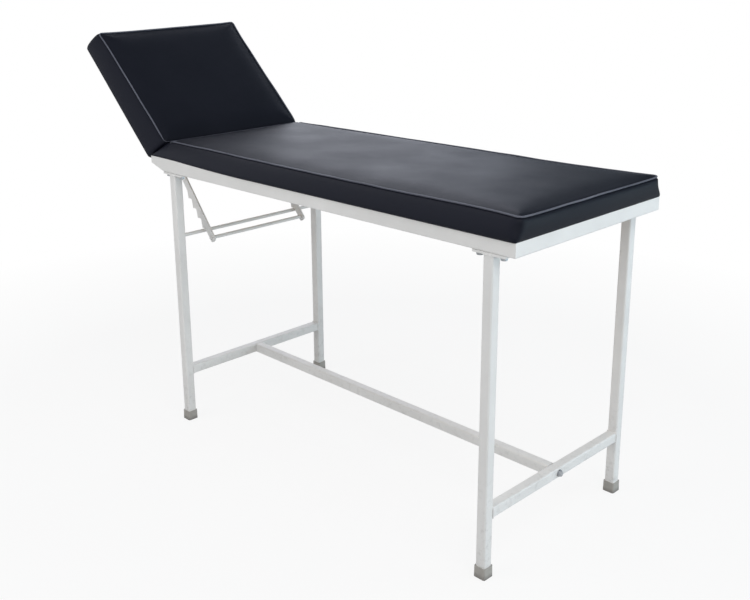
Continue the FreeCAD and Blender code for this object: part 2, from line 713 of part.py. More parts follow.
def moving_leaf(centre):
    """The head section's half of one hinge, lying on top of the head board."""
    half = HINGE_LENGTH / 2
    far = HINGE.x - HINGE_LEAF_REACH
    near = HINGE.x - HINGE_BARREL / 2 - HINGE_KNUCKLE_GAP
    leaf = box(far, near, centre - half, centre + half, BOARD_TOP, BOARD_TOP + HINGE_LEAF)
    for y0, y1 in knuckle_spans(centre, True):
        leaf = leaf.fuse(cylinder_y(HINGE.x, HINGE.z, y0, y1, HINGE_BARREL / 2))
        leaf = leaf.fuse(box(near - 1, HINGE.x, y0, y1, BOARD_TOP, BOARD_TOP + HINGE_LEAF))
    leaf = leaf.cut(hinge_bore(centre))
    for x, y in hinge_bolt_places():
        hole = cylinder_z(x, y, BOARD_TOP - 1, BOARD_TOP + HINGE_LEAF + 1, HINGE_BOLT / 2)
        leaf = leaf.cut(hole)
    return leaf.removeSplitter()


def hinge_pin(sign):
    """A pin with its head at the table's outer side."""
    start = HINGE_Y - HINGE_LENGTH / 2
    end = HINGE_Y + HINGE_LENGTH / 2
    shank = cylinder_y(HINGE.x, HINGE.z, start, end, HINGE_PIN / 2)
    head = cylinder_y(HINGE.x, HINGE.z, end, end + HINGE_PIN_HEAD_LENGTH, HINGE_PIN_HEAD / 2)
    return on_side(shank.fuse(head).removeSplitter(), sign)


def hinge_bolts():
    length = HINGE_LEAF + BOARD_THICKNESS + HINGE_NUT_HEIGHT + HINGE_BOLT_SPARE
    bolt = dome_screw(HINGE_BOLT, HINGE_BOLT_HEAD, HINGE_BOLT_HEAD_HEIGHT, length)
    bolt = turned(bolt, 180, Vector(0, 0, 0))
    return group([
        moved(bolt, x, y, BOARD_TOP + HINGE_LEAF) for x, y in hinge_bolt_places()])


def hinge_nuts():
    nut = hex_nut(HINGE_BOLT, HINGE_NUT, HINGE_NUT_HEIGHT)
    return group([
        moved(nut, x, y, BOARD_BOTTOM - HINGE_NUT_HEIGHT) for x, y in hinge_bolt_places()])


# Bearers under the head board


def bearer_screw_places():
    y = BEARER_INSIDE + (BEARER + BEARER_THICKNESS) / 2
    for x in (BEARER_X0 + BEARER_SCREW_INSET * 2, (BEARER_X0 + BEARER_X1) / 2,
              BEARER_X1 - BEARER_SCREW_INSET):
        for sign in (-1, 1):
            yield x, sign * y


def head_bearer(sign):
    """A steel angle along the head board; its upright flange carries the prop's pivot."""
    inner = BEARER_INSIDE
    web = inner + BEARER_THICKNESS
    low = BOARD_BOTTOM - BEARER
    nip = BEARER_NIP
    flange_side = prism_y(
        [(BEARER_X0, BOARD_BOTTOM), (BEARER_X1, BOARD_BOTTOM), (BEARER_X1, low + nip),
         (BEARER_X1 - nip, low), (BEARER_X0 + nip, low), (BEARER_X0, low + nip)],
        inner, web)
    top = box(
        BEARER_X0, BEARER_X1, inner, inner + BEARER, BOARD_BOTTOM - BEARER_THICKNESS,
        BOARD_BOTTOM)
    angle = flange_side.fuse(top).removeSplitter()
    angle = angle.cut(cylinder_y(PIVOT_FLAT.x, PIVOT_FLAT.z, inner - 1, web + 1, PROP_PIN / 2))
    for x, y in bearer_screw_places():
        if y > 0:
            hole = cylinder_z(
                x, y, BOARD_BOTTOM - BEARER_THICKNESS - 1, BOARD_BOTTOM + 1,
                SCREW / 2 + BOLT_CLEARANCE)
            angle = angle.cut(hole)
    return on_side(angle, sign)


def bearer_tie():
    """A flat bar across the two bearers at their far end."""
    top = BOARD_BOTTOM
    return box(
        BEARER_X0, BEARER_X0 + TIE_WIDTH, -BEARER_INSIDE, BEARER_INSIDE,
        top - BEARER_THICKNESS, top)


def bearer_screws():
    screw = dome_screw(SCREW, SCREW_HEAD, SCREW_HEAD_HEIGHT, BEARER_THICKNESS + SCREW_GRIP)
    return group([
        moved(screw, x, y, BOARD_BOTTOM - BEARER_THICKNESS) for x, y in bearer_screw_places()])


# Prop


def prop_lean():
    """The bars' angle from upright when the lowest notch rests on the catch rod."""
    across = CATCH.x - PIVOT.x
    down = PIVOT.z - CATCH.z
    beside = PROP_BAR_WIDTH / 2 + CATCH_ROD / 2 + CATCH_GAP
    return math.atan2(across, down) + math.asin(beside / math.hypot(across, down))


def ledge_depth(lean):
    """Distance down the bar from the pivot to the root of the lowest ledge."""
    ledge_z = CATCH.z + CATCH_ROD / 2 + CATCH_GAP
    edge_z = PIVOT.z - PROP_BAR_WIDTH / 2 * math.sin(lean)
    return (edge_z - ledge_z) / math.cos(lean)


def prop_outline(lean):
    """One bar hanging straight down from its pivot at (0, 0), with its teeth towards -X."""
    half = PROP_BAR_WIDTH / 2
    lowest = ledge_depth(lean)
    end = lowest + PROP_TAIL
    tip_out = NOTCH_LEDGE * math.cos(lean)
    tip_up = NOTCH_LEDGE * math.sin(lean)
    nip = PROP_NIP
    points = [Vector(half, 0, 0), Vector(half, 0, -end + nip), Vector(half - nip, 0, -end),
              Vector(nip - half, 0, -end), Vector(-half, 0, -end + nip)]
    for i in range(NOTCH_COUNT):
        root = lowest - i * NOTCH_PITCH
        points.append(Vector(-half, 0, -root))
        points.append(Vector(-half - tip_out, 0, -root + tip_up))
        points.append(Vector(-half, 0, -root + NOTCH_RAMP))
    points.append(Vector(-half, 0, 0))
    edges = [Part.makeLine(a, b) for a, b in zip(points, points[1:])]
    edges.append(Part.Arc(points[-1], Vector(0, 0, half), points[0]).toShape())
    return Part.Wire(edges), end


def prop_bar(sign):
    """A flat bar with four saw teeth, a round eye at the pivot and a hole for the cross rod."""
    lean = prop_lean()
    outline, end = prop_outline(lean)
    bar = Part.Face(outline).extrude(Vector(0, PROP_BAR_THICKNESS, 0))
    eye = cylinder_y(0, 0, -1, PROP_BAR_THICKNESS + 1, PROP_PIN / 2 + PROP_RUNNING)
    rod = cylinder_y(0, -end + PROP_ROD_INSET, -1, PROP_BAR_THICKNESS + 1, PROP_ROD / 2)
    bar = bar.cut(eye).cut(rod)
    bar.translate(Vector(0, sign * PROP_BAR_Y - PROP_BAR_THICKNESS / 2, 0))
    return placed_prop(bar)


def placed_prop(shape):
    """A prop piece, drawn hanging straight down from (0, 0), swung to its place under the head."""
    copy = turned(shape, -math.degrees(prop_lean()), Vector(0, 0, 0))
    copy.translate(Vector(PIVOT.x, 0, PIVOT.z))
    return copy


def prop_cross_rod():
    end = prop_outline(prop_lean())[1]
    reach = PROP_BAR_Y + PROP_BAR_THICKNESS / 2 + PROP_ROD_STUB
    rod = cylinder_y(0, -end + PROP_ROD_INSET, -reach, reach, PROP_ROD / 2)
    return placed_prop(rod)


def prop_pin(sign):
    """A headed pin riveted in the bearer, on which one bar swings."""
    inner = PROP_BAR_Y - PROP_BAR_THICKNESS / 2 - PROP_SIDE_GAP
    outer = BEARER_INSIDE + BEARER_THICKNESS
    x = PIVOT_FLAT.x
    z = PIVOT_FLAT.z
    pin = cylinder_y(x, z, inner, outer, PROP_PIN / 2)
    pin = pin.fuse(cylinder_y(x, z, inner - PROP_PIN_HEAD_HEIGHT, inner, PROP_PIN_HEAD / 2))
    pin = pin.fuse(cylinder_y(x, z, outer, outer + PROP_PIN_HEAD_HEIGHT, PROP_PIN_HEAD / 2))
    return on_side(pin.removeSplitter(), sign)


def prop_washer(sign):
    start = BEARER_INSIDE - PROP_WASHER_THICKNESS
    x = PIVOT_FLAT.x
    z = PIVOT_FLAT.z
    washer = cylinder_y(x, z, start, BEARER_INSIDE, PROP_WASHER / 2)
    washer = washer.cut(cylinder_y(x, z, start - 1, BEARER_INSIDE + 1, PROP_PIN / 2))
    return on_side(washer, sign)


def frame_nodes():
    nodes = {
        "side_rail_near": side_rail(-1),
        "side_rail_far": side_rail(1),
        "foot_end_rail": foot_end_rail(),
        "head_cross_rail": head_cross_rail(),
        "seat_board": seat_board(),
        "seat_board_screws": seat_screws(),
        "seat_foam": seat_foam(),
        "seat_cover": seat_cover(),
        "cross_bar_head": cross_bar(HEAD_LEG_X),
        "cross_bar_foot": cross_bar(FOOT_LEG_X),
        "stretcher": stretcher(),
        "stretcher_end_plates": group([
            stretcher_plate(STRETCHER_START),
            stretcher_plate(STRETCHER_END - STRETCHER_PLATE)]),
        "stretcher_bolts": stretcher_bolts(),
        "stretcher_washers": stretcher_washers(),
        "catch_rod": catch_rod(),
        "flange_bolts": group([flange_bolt(x, y) for x, y in flange_bolt_places()]),
        "flange_washers": group([flange_washer(x, y) for x, y in flange_bolt_places()]),
        "rail_nuts": group([rail_nut(x, y) for x, y in flange_bolt_places()]),
    }
    for i, x in enumerate(slat_places(), 1):
        nodes["seat_slat_%d" % i] = seat_slat(x)
    for name, x, y in leg_places():
        nodes["leg_" + name] = leg(x, y)
        nodes["leg_flange_" + name] = flange(x, y)
        nodes["foot_cap_" + name] = foot_cap(x, y)
    for side, sign in SIDES.items():
        nodes["hinge_fixed_leaf_" + side] = fixed_leaf(sign * HINGE_Y)
        nodes["hinge_pin_" + side] = hinge_pin(sign)
    return nodes


def head_nodes():
    nodes = {
        "head_board": head_board(),
        "head_foam": head_foam(),
        "head_cover": head_cover(),
        "hinge_bolts": hinge_bolts(),
        "hinge_nuts": hinge_nuts(),
        "bearer_tie": bearer_tie(),
        "bearer_screws": bearer_screws(),
    }
    for side, sign in SIDES.items():
        nodes["hinge_moving_leaf_" + side] = moving_leaf(sign * HINGE_Y)
        nodes["head_bearer_" + side] = head_bearer(sign)
        nodes["prop_pin_" + side] = prop_pin(sign)
        nodes["prop_washer_" + side] = prop_washer(sign)
    return {name: turned(shape, HEAD_ANGLE) for name, shape in nodes.items()}


def prop_nodes():
    nodes = {"prop_cross_rod": prop_cross_rod()}
    for side, sign in SIDES.items():
        nodes["prop_bar_" + side] = prop_bar(sign)
    return nodes


def main():
    os.makedirs("parts", exist_ok=True)
    nodes = frame_nodes()
    nodes.update(head_nodes())
    nodes.update(prop_nodes())
    for name, shape in nodes.items():
        shape = moved(shape, -ORIGIN_X)
        if not shape.isValid():
            print("not valid:", name)
        shape.exportStep("parts/" + name + ".step")
    print(len(nodes), "nodes")
    print("hinge line x %.3f z %.3f" % (HINGE.x - ORIGIN_X, HINGE.z))
    print("prop pivot x %.3f z %.3f" % (PIVOT.x - ORIGIN_X, PIVOT.z))
    print("catch rod x %.3f z %.3f" % (CATCH.x - ORIGIN_X, CATCH.z))
    print("prop lean %.2f degrees" % math.degrees(prop_lean()))
    print("least swing ratio %.4f" % ((HINGE.x - PIVOT.x) / (CATCH.x - PIVOT.x)))
    for name, x, y in leg_places():
        print("foot", name, "x %.3f y %.3f" % (x - ORIGIN_X, y))


main()
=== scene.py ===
# %% [markdown]
# An examination table in Blender, built around the steel frame that comes packed from CAD.
# The metal and plastic parts arrive as finished meshes and only need paint, zinc and plywood.
# The two pads, their piping, the weld beads and the staples are soft or lumpy things that CAD
# draws badly, so they are made here. Everything is in metres: +X runs to the foot end, +Y to
# the far side, +Z up, and the table stands on z = 0 with its head section raised.

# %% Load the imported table
import json
import math
import random

import bmesh
import bpy
import numpy as np
from mathutils import Matrix, Vector, noise


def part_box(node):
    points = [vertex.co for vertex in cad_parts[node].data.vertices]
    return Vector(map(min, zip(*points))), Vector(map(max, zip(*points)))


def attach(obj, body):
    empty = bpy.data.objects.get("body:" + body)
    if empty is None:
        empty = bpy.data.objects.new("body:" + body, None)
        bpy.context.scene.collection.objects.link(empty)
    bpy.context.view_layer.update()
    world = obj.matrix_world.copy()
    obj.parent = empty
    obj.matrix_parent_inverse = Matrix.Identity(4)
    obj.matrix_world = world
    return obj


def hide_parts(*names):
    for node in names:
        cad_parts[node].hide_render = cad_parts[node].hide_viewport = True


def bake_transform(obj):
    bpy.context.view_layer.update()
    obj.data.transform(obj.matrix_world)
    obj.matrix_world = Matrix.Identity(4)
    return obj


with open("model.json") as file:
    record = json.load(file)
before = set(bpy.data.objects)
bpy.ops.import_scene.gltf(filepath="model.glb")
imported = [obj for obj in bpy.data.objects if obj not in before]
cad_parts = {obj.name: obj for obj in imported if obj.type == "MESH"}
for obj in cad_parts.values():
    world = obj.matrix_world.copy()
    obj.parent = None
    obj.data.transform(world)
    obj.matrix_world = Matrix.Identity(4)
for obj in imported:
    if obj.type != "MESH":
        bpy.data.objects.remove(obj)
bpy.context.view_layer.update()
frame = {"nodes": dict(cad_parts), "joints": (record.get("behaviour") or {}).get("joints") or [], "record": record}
nodes = frame["nodes"]

# %% [markdown]
# The camera stands where the photographer stood: a little above the pad, near the foot end.
# Its place, lens and shift come from matching the corners of the frame. A rotation matrix is
# the plainest way to set a camera that is also rolled by half a degree, because its three
# columns are simply the right, up and backward directions of the picture.

# %% Camera
AZIMUTH = math.radians(45.998)
ELEVATION = math.radians(15.790)
ROLL = math.radians(-0.632)
back = Vector((
    math.sin(AZIMUTH) * math.cos(ELEVATION),
    -math.cos(AZIMUTH) * math.cos(ELEVATION),
    math.sin(ELEVATION)))
level = Vector((math.cos(AZIMUTH), math.sin(AZIMUTH), 0))
upright = back.cross(level)
right = math.cos(ROLL) * level + math.sin(ROLL) * upright
up = -math.sin(ROLL) * level + math.cos(ROLL) * upright
turn = Matrix((right, up, back)).transposed().to_4x4()

camera_data = bpy.data.cameras.new("camera")
camera = bpy.data.objects.new("camera", camera_data)
bpy.context.scene.collection.objects.link(camera)
camera.matrix_world = Matrix.Translation((1.8557, -1.7163, 1.2739)) @ turn
camera_data.sensor_width = 36
camera_data.lens = 47.088
camera_data.shift_x = 0.0229
camera_data.shift_y = -0.0804
bpy.context.scene.camera = camera
print("camera at", [round(v, 3) for v in camera.location])

# %% [markdown]
# Every finish below is a small tree of shader nodes. Clicked together by hand, such a tree is
# hard to repeat, and written out in full it takes many lines. Four short helpers keep it
# readable: one adds any node, and the others add a colour ramp, a mix of two colours and a sum.

# %% Node helpers
def add(tree, kind, settings=None, **inputs):
    """A new node: settings are its own options, inputs are values or sockets to link."""
    node = tree.nodes.new(kind)
    for key, value in (settings or {}).items():
        setattr(node, key, value)
    for key, value in inputs.items():
        socket = node.inputs[key.replace("_", " ")]
        if isinstance(value, bpy.types.NodeSocket):
            tree.links.new(value, socket)
        else:
            socket.default_value = value
    return node


def ramp(tree, source, stops):
    """A colour ramp over a number; stops are (place, colour or grey)."""
    node = add(tree, "ShaderNodeValToRGB", Fac=source)
    for index, (place, colour) in enumerate(stops):
        if index < 2:
            element = node.color_ramp.elements[index]
            element.position = place
        else:
            element = node.color_ramp.elements.new(place)
        if not isinstance(colour, tuple):
            colour = (colour, colour, colour)
        element.color = (*colour, 1)
    return node.outputs["Color"]


def mix(tree, share, first, second, kind="MIX"):
    """Two colours mixed by a share between 0 and 1."""
    node = add(tree, "ShaderNodeMix", {"data_type": "RGBA", "blend_type": kind})
    for index, value in ((0, share), (6, first), (7, second)):
        if isinstance(value, bpy.types.NodeSocket):
            tree.links.new(value, node.inputs[index])
        elif index:
            node.inputs[index].default_value = (*value, 1)
        else:
            node.inputs[index].default_value = value
    return node.outputs[2]


def maths(tree, operation, *values):
    """One sum on numbers or sockets."""
    node = add(tree, "ShaderNodeMath", {"operation": operation})
    for socket, value in zip(node.inputs, values):
        if isinstance(value, bpy.types.NodeSocket):
            tree.links.new(value, socket)
        else:
            socket.default_value = value
    return node.outputs[0]


print("node helpers ready")

# %% [markdown]
# The picture is a studio shot on white. The world is white to the camera, while the light
# that reaches the table is a soft gradient, brighter on the foot side and dim on the near
# side. Glossy rays see a white wall low down behind the head end and a grey room elsewhere:
# that wall is what gives vinyl seen at a flat angle its pale sheen, which ends before the
# foot. A photograph of a studio would do this too, but a few nodes need no picture.

# %% World
TO_WALL = (-0.785, -0.620, 0)

world = bpy.data.worlds.new("studio")
bpy.context.scene.world = world
world.use_nodes = True
sky = world.node_tree
sky.nodes.clear()
place = add(sky, "ShaderNodeTexCoord")
axes = add(sky, "ShaderNodeSeparateXYZ", Vector=place.outputs["Generated"])
slant = maths(sky, "ADD", axes.outputs["X"], axes.outputs["Y"])
slant = maths(sky, "MULTIPLY_ADD", slant, 0.35, 0.5)
soft = ramp(sky, slant, [(0.0, (0.20, 0.20, 0.21)), (1.0, (0.80, 0.83, 0.86))])
wall_side = add(
    sky, "ShaderNodeVectorMath", {"operation": "DOT_PRODUCT"}, Vector=place.outputs["Generated"])
wall_side.inputs[1].default_value = TO_WALL
wall = ramp(sky, maths(sky, "ADD", wall_side.outputs["Value"], 0.5), [(0.47, 0.0), (0.60, 1.0)])
mirrored = mix(sky, wall, (0.20, 0.24, 0.28), (0.92, 0.94, 1.0))
rays = add(sky, "ShaderNodeLightPath")
seen = mix(sky, rays.outputs["Is Glossy Ray"], soft, mirrored)
clear = maths(sky, "MAXIMUM", rays.outputs["Is Camera Ray"], rays.outputs["Is Transmission Ray"])
seen = mix(sky, clear, seen, (1.0, 1.0, 1.0))
light = add(sky, "ShaderNodeBackground", Color=seen, Strength=1.0)
add(sky, "ShaderNodeOutputWorld", Surface=light.outputs["Background"])
print("world nodes", len(sky.nodes))

# %% [markdown]
# Large, weak area lamps add soft shadows, and a low cool one lights the foot end. The fill
# only lights, and the sheen lamp only glints, as a polarised studio lamp can. Spot lamps
# would be quicker to aim, but their shadows have hard edges. The Standard view shows each
# colour about as it is written.

# %% Lamps
def lamp(name, place, aim, size, power, colour):
    """A rectangular area lamp that looks at its aim."""
    data = bpy.data.lights.new(name, "AREA")
    data.shape = "RECTANGLE"
    data.size, data.size_y = size
    data.energy = power
    data.color = colour
    thing = bpy.data.objects.new(name, data)
    bpy.context.scene.collection.objects.link(thing)
    thing.location = place
    thing.rotation_mode = "QUATERNION"
    thing.rotation_quaternion = (Vector(aim) - Vector(place)).to_track_quat("-Z", "Y")
    return thing


lamp("key", (2.4, -0.9, 2.8), (0, 0, 0.6), (1.8, 1.8), 32, (1.0, 0.995, 0.985))
fill = lamp("fill", (-0.8, -2.8, 1.9), (0, 0, 0.5), (2.2, 1.6), 32, (1.0, 0.985, 0.965))
fill.visible_glossy = False
sheen = lamp("sheen", (-2.1, 1.9, 1.75), (0, 0, 0.8), (2.2, 1.6), 16, (0.82, 0.86, 1.0))
sheen.visible_diffuse = False
lamp("panel", (3.1, 2.0, 0.75), (0.75, 0, 0.70), (1.5, 1.1), 25, (0.66, 0.88, 1.0))
bpy.context.scene.view_settings.view_transform = "Standard"

# %% [markdown]
# The floor is a large pale sheet. In the picture it can't be told from the background, so
# the camera sees it mostly as plain white and only faintly as a lit surface, which keeps a
# trace of the table's shadow. A few steps away from the table it is all white, so that no
# horizon shows. All other rays see an ordinary pale floor.

# %% Floor
FLOOR_HALF = 12.0
corners = [(FLOOR_HALF * x, FLOOR_HALF * y, 0.0) for x, y in ((-1, -1), (1, -1), (1, 1), (-1, 1))]
floor_mesh = bpy.data.meshes.new("floor")
floor_mesh.from_pydata(corners, [], [(0, 1, 2, 3)])
floor = bpy.data.objects.new("floor", floor_mesh)
bpy.context.scene.collection.objects.link(floor)
floor_finish = bpy.data.materials.new("pale floor")
floor_finish.use_nodes = True
tree = floor_finish.node_tree
shader = tree.nodes["Principled BSDF"]
place = add(tree, "ShaderNodeTexCoord")
cloud = add(tree, "ShaderNodeTexNoise", Vector=place.outputs["Object"], Scale=1.7, Detail=3.0)
tone = ramp(tree, cloud.outputs["Fac"], [(0.3, 0.74), (0.7, 0.78)])
tree.links.new(tone, shader.inputs["Base Color"])
shader.inputs["Roughness"].default_value = 0.8
white = add(tree, "ShaderNodeEmission", Color=(1, 1, 1, 1), Strength=1.0)
rays = add(tree, "ShaderNodeLightPath")
apart = add(tree, "ShaderNodeVectorMath", {"operation": "LENGTH"}, Vector=place.outputs["Object"])
apart = maths(tree, "MULTIPLY", apart.outputs["Value"], 0.25)
plain = ramp(tree, apart, [(0.28, 0.86), (0.55, 1.0)])
share = maths(tree, "MULTIPLY", rays.outputs["Is Camera Ray"], plain)
both = add(tree, "ShaderNodeMixShader", Fac=share)
tree.links.new(shader.outputs[0], both.inputs[1])
tree.links.new(white.outputs[0], both.inputs[2])
tree.links.new(both.outputs[0], tree.nodes["Material Output"].inputs["Surface"])
floor.data.materials.append(floor_finish)
print("floor", floor.data.materials[0].name)

# %% [markdown]
# The frame is white powder coat. Powder melts into a skin with a faint orange-peel ripple, a
# slight change of tone from place to place, and grey scuffs low on the legs where shoes and
# mops touch them. Noise textures in object coordinates give all three, because every CAD
# node keeps the table's own coordinates and so the pattern runs on from tube to tube.

# %% Powder coat
def finish(name):
    """A new material, its node tree, its shader and its place in the table's own metres."""
    material = bpy.data.materials.new(name)
    material.use_nodes = True
    tree = material.node_tree
    where = add(tree, "ShaderNodeTexCoord").outputs["Object"]
    return material, tree, tree.nodes["Principled BSDF"], where


def bumped(tree, shader, height, depth, strength=1.0, under=None):
    """Raises the surface by a height from 0 to 1 times the depth in metres."""
    node = add(tree, "ShaderNodeBump", Height=height, Distance=depth, Strength=strength)
    if under is not None:
        tree.links.new(under, node.inputs["Normal"])
    tree.links.new(node.outputs[0], shader.inputs["Normal"])
    return node.outputs[0]


powder, tree, shader, where = finish("white powder coat")
cloud = add(tree, "ShaderNodeTexNoise", Vector=where, Scale=9.0, Detail=4.0)
tone = ramp(tree, cloud.outputs["Fac"], [(0.3, (0.71, 0.705, 0.69)), (0.7, (0.77, 0.765, 0.75))])
height = add(tree, "ShaderNodeSeparateXYZ", Vector=where).outputs["Z"]
low = ramp(tree, height, [(0.02, 1.0), (0.30, 0.0)])
scuff = add(tree, "ShaderNodeTexNoise", Vector=where, Scale=65.0, Detail=6.0, Roughness=0.7)
marks = ramp(tree, scuff.outputs["Fac"], [(0.52, 0.0), (0.66, 1.0)])
dirt = maths(tree, "MULTIPLY", low, marks)
dirt = maths(tree, "MULTIPLY", dirt, 0.45)
tone = mix(tree, dirt, tone, (0.42, 0.41, 0.39))
speck = add(tree, "ShaderNodeTexNoise", Vector=where, Scale=420.0, Detail=2.0)
chips = ramp(tree, speck.outputs["Fac"], [(0.70, 0.0), (0.76, 1.0)])
tone = mix(tree, maths(tree, "MULTIPLY", chips, 0.25), tone, (0.55, 0.55, 0.54))
tree.links.new(tone, shader.inputs["Base Color"])
rough = ramp(tree, cloud.outputs["Fac"], [(0.2, 0.30), (0.8, 0.44)])
tree.links.new(rough, shader.inputs["Roughness"])
peel = add(tree, "ShaderNodeTexNoise", Vector=where, Scale=520.0, Detail=2.0)
dents = bumped(tree, shader, scuff.outputs["Fac"], 0.00010, 0.5)
bumped(tree, shader, peel.outputs["Fac"], 0.00006, 0.6, dents)
print("powder coat nodes", len(tree.nodes))

# %% [markdown]
# Bolts, pins and washers are zinc plated, and the hinges are plain rolled steel. Both are
# metal shaders. Fine streaks stretched along one axis make the turned or rolled grain, and
# a cloudy noise dulls the plating in patches.

# %% Zinc and hinge steel
def metal(name, dark, bright, stretch, rough_low, rough_high):
    """A metal finish whose grain is drawn out along the axis with the smallest stretch."""
    material, tree, shader, where = finish(name)
    cloud = add(tree, "ShaderNodeTexNoise", Vector=where, Scale=90.0, Detail=5.0, Roughness=0.6)
    tone = ramp(tree, cloud.outputs["Fac"], [(0.35, dark), (0.65, bright)])
    tree.links.new(tone, shader.inputs["Base Color"])
    shader.inputs["Metallic"].default_value = 0.9
    rough = ramp(tree, cloud.outputs["Fac"], [(0.3, rough_high), (0.7, rough_low)])
    tree.links.new(rough, shader.inputs["Roughness"])
    grain = add(tree, "ShaderNodeMapping", Vector=where, Scale=stretch)
    lines = add(tree, "ShaderNodeTexNoise", Vector=grain.outputs[0], Scale=600.0, Detail=2.0)
    bumped(tree, shader, lines.outputs["Fac"], 0.00005, 0.5)
    return material


zinc = metal("zinc plate", (0.40, 0.41, 0.42), (0.62, 0.63, 0.65), (1.0, 1.0, 3.0), 0.28, 0.45)
rolled = metal("rolled steel", (0.30, 0.31, 0.32), (0.48, 0.48, 0.49), (1.0, 0.1, 1.0), 0.35, 0.55)
print("metals", zinc.name, rolled.name)

# %% [markdown]
# The foot caps are soft grey-beige plastic. Moulded plastic is matt with a fine, even
# texture. Its colour is painted darker over the lowest twelve millimetres, next to the floor.

# %% Cap plastic
plastic, tree, shader, where = finish("grey cap plastic")
cloud = add(tree, "ShaderNodeTexNoise", Vector=where, Scale=40.0, Detail=5.0)
tone = ramp(tree, cloud.outputs["Fac"], [(0.3, (0.33, 0.315, 0.29)), (0.7, (0.40, 0.385, 0.355))])
height = add(tree, "ShaderNodeSeparateXYZ", Vector=where).outputs["Z"]
# Darker colour towards the floor, over the cap's lowest twelve millimetres.
low = ramp(tree, height, [(0.001, 0.75), (0.012, 0.0)])
tone = mix(tree, low, tone, (0.17, 0.16, 0.15))
tree.links.new(tone, shader.inputs["Base Color"])
rough = ramp(tree, cloud.outputs["Fac"], [(0.3, 0.48), (0.7, 0.62)])
tree.links.new(rough, shader.inputs["Roughness"])
fine = add(tree, "ShaderNodeTexNoise", Vector=where, Scale=1400.0, Detail=2.0)
bumped(tree, shader, fine.outputs["Fac"], 0.00008, 0.6)
print("plastic nodes", len(tree.nodes))

# %% [markdown]
# Under each pad is a plywood board. Its faces show long, wavy grain lines, and its cut
# edges show the plies as stripes. The grain is a noise stretched along the table; the
# stripes come from the height, and only show where the surface faces sideways.

# %% Plywood
plywood, tree, shader, where = finish("plywood")
grain = add(tree, "ShaderNodeMapping", Vector=where, Scale=(2.0, 40.0, 40.0))
lines = add(
    tree, "ShaderNodeTexNoise", Vector=grain.outputs[0], Scale=6.0, Detail=8.0, Distortion=0.8)
tone = ramp(tree, lines.outputs["Fac"], [(0.25, (0.36, 0.23, 0.12)), (0.75, (0.62, 0.45, 0.27))])
height = add(tree, "ShaderNodeSeparateXYZ", Vector=where).outputs["Z"]
layers = maths(tree, "SINE", maths(tree, "MULTIPLY", height, 2600.0))
stripes = ramp(tree, layers, [(0.2, 0.55), (0.6, 1.0)])
facing = add(tree, "ShaderNodeNewGeometry").outputs["Normal"]
upward = add(tree, "ShaderNodeSeparateXYZ", Vector=facing).outputs["Z"]
edge = ramp(tree, maths(tree, "ABSOLUTE", upward), [(0.05, 1.0), (0.30, 0.0)])
tone = mix(tree, edge, tone, mix(tree, 1.0, tone, stripes, "MULTIPLY"))
tree.links.new(tone, shader.inputs["Base Color"])
rough = ramp(tree, lines.outputs["Fac"], [(0.2, 0.78), (0.8, 0.6)])
tree.links.new(rough, shader.inputs["Roughness"])
bumped(tree, shader, lines.outputs["Fac"], 0.0003, 0.5)
print("plywood nodes", len(tree.nodes))

# %% [markdown]
# The cover is black leathercloth: PVC on a knitted back, embossed with a fine leather
# grain. Small Voronoi cells make the grain, and painted shade darkens the grain's creases. A
# slow noise makes the slight hollows of foam under it, and the gloss varies where the cloth is
# handled. A real vinyl is never pure black, so the colour is a dark navy.

# %% Vinyl
def vinyl_finish(name, dark, light, rough_low, rough_high):
    """Embossed vinyl between two tones and two roughnesses."""
    material, tree, shader, where = finish(name)
    cloud = add(tree, "ShaderNodeTexNoise", Vector=where, Scale=7.0, Detail=4.0)
    tone = ramp(tree, cloud.outputs["Fac"], [(0.3, dark), (0.7, light)])
    cells = add(
        tree, "ShaderNodeTexVoronoi", {"feature": "DISTANCE_TO_EDGE"}, Vector=where, Scale=620.0)
    creases = ramp(tree, cells.outputs["Distance"], [(0.0, 0.0), (0.12, 1.0)])
    # The grain's creases are painted darker: painted shade in the recesses.
    tone = mix(tree, maths(tree, "SUBTRACT", 1.0, creases), tone, tuple(0.7 * v for v in dark))
    tree.links.new(tone, shader.inputs["Base Color"])
    rough = ramp(tree, cloud.outputs["Fac"], [(0.3, rough_low), (0.7, rough_high)])
    tree.links.new(rough, shader.inputs["Roughness"])
    shader.inputs["Specular IOR Level"].default_value = 0.15
    slow = add(tree, "ShaderNodeTexNoise", Vector=where, Scale=16.0, Detail=3.0)
    hollows = bumped(tree, shader, slow.outputs["Fac"], 0.0007, 0.5)
    bumped(tree, shader, creases, 0.00010, 0.55, hollows)
    return material


vinyl = vinyl_finish("black vinyl", (0.0056, 0.0066, 0.0126), (0.0080, 0.0092, 0.0164), 0.42, 0.50)
# The piping's vinyl is painted much lighter than the pad's: its pale line is a painted highlight.
piping_highlight_vinyl = vinyl_finish("piping vinyl painted as a highlight", (0.082, 0.087, 0.112), (0.165, 0.173, 0.210), 0.30, 0.42)
print("vinyl", vinyl.name, piping_highlight_vinyl.name)

# %% [markdown]
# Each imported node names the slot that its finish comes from. A small table of slots and
# materials dresses all of them in one loop, so no node is left in plain grey.

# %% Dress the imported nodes
finishes = {
    "frame_paint": powder, "fastener": zinc, "hinge_steel": rolled, "cap_plastic": plastic,
    "plywood": plywood, "foam": vinyl, "vinyl": vinyl}
for part in frame["record"]["subparts"]:
    thing = nodes[part["node"]]
    thing.data.materials.clear()
    thing.data.materials.append(finishes[part["material_slot"]])

# %% [markdown]
# The pads have to fit the frame, so nothing about them is measured by hand. Their sizes, the
# rails and the board they rest on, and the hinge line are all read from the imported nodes. If
# the CAD table is made wider, the pads follow. Only the angle of the raised head section is
# written down.

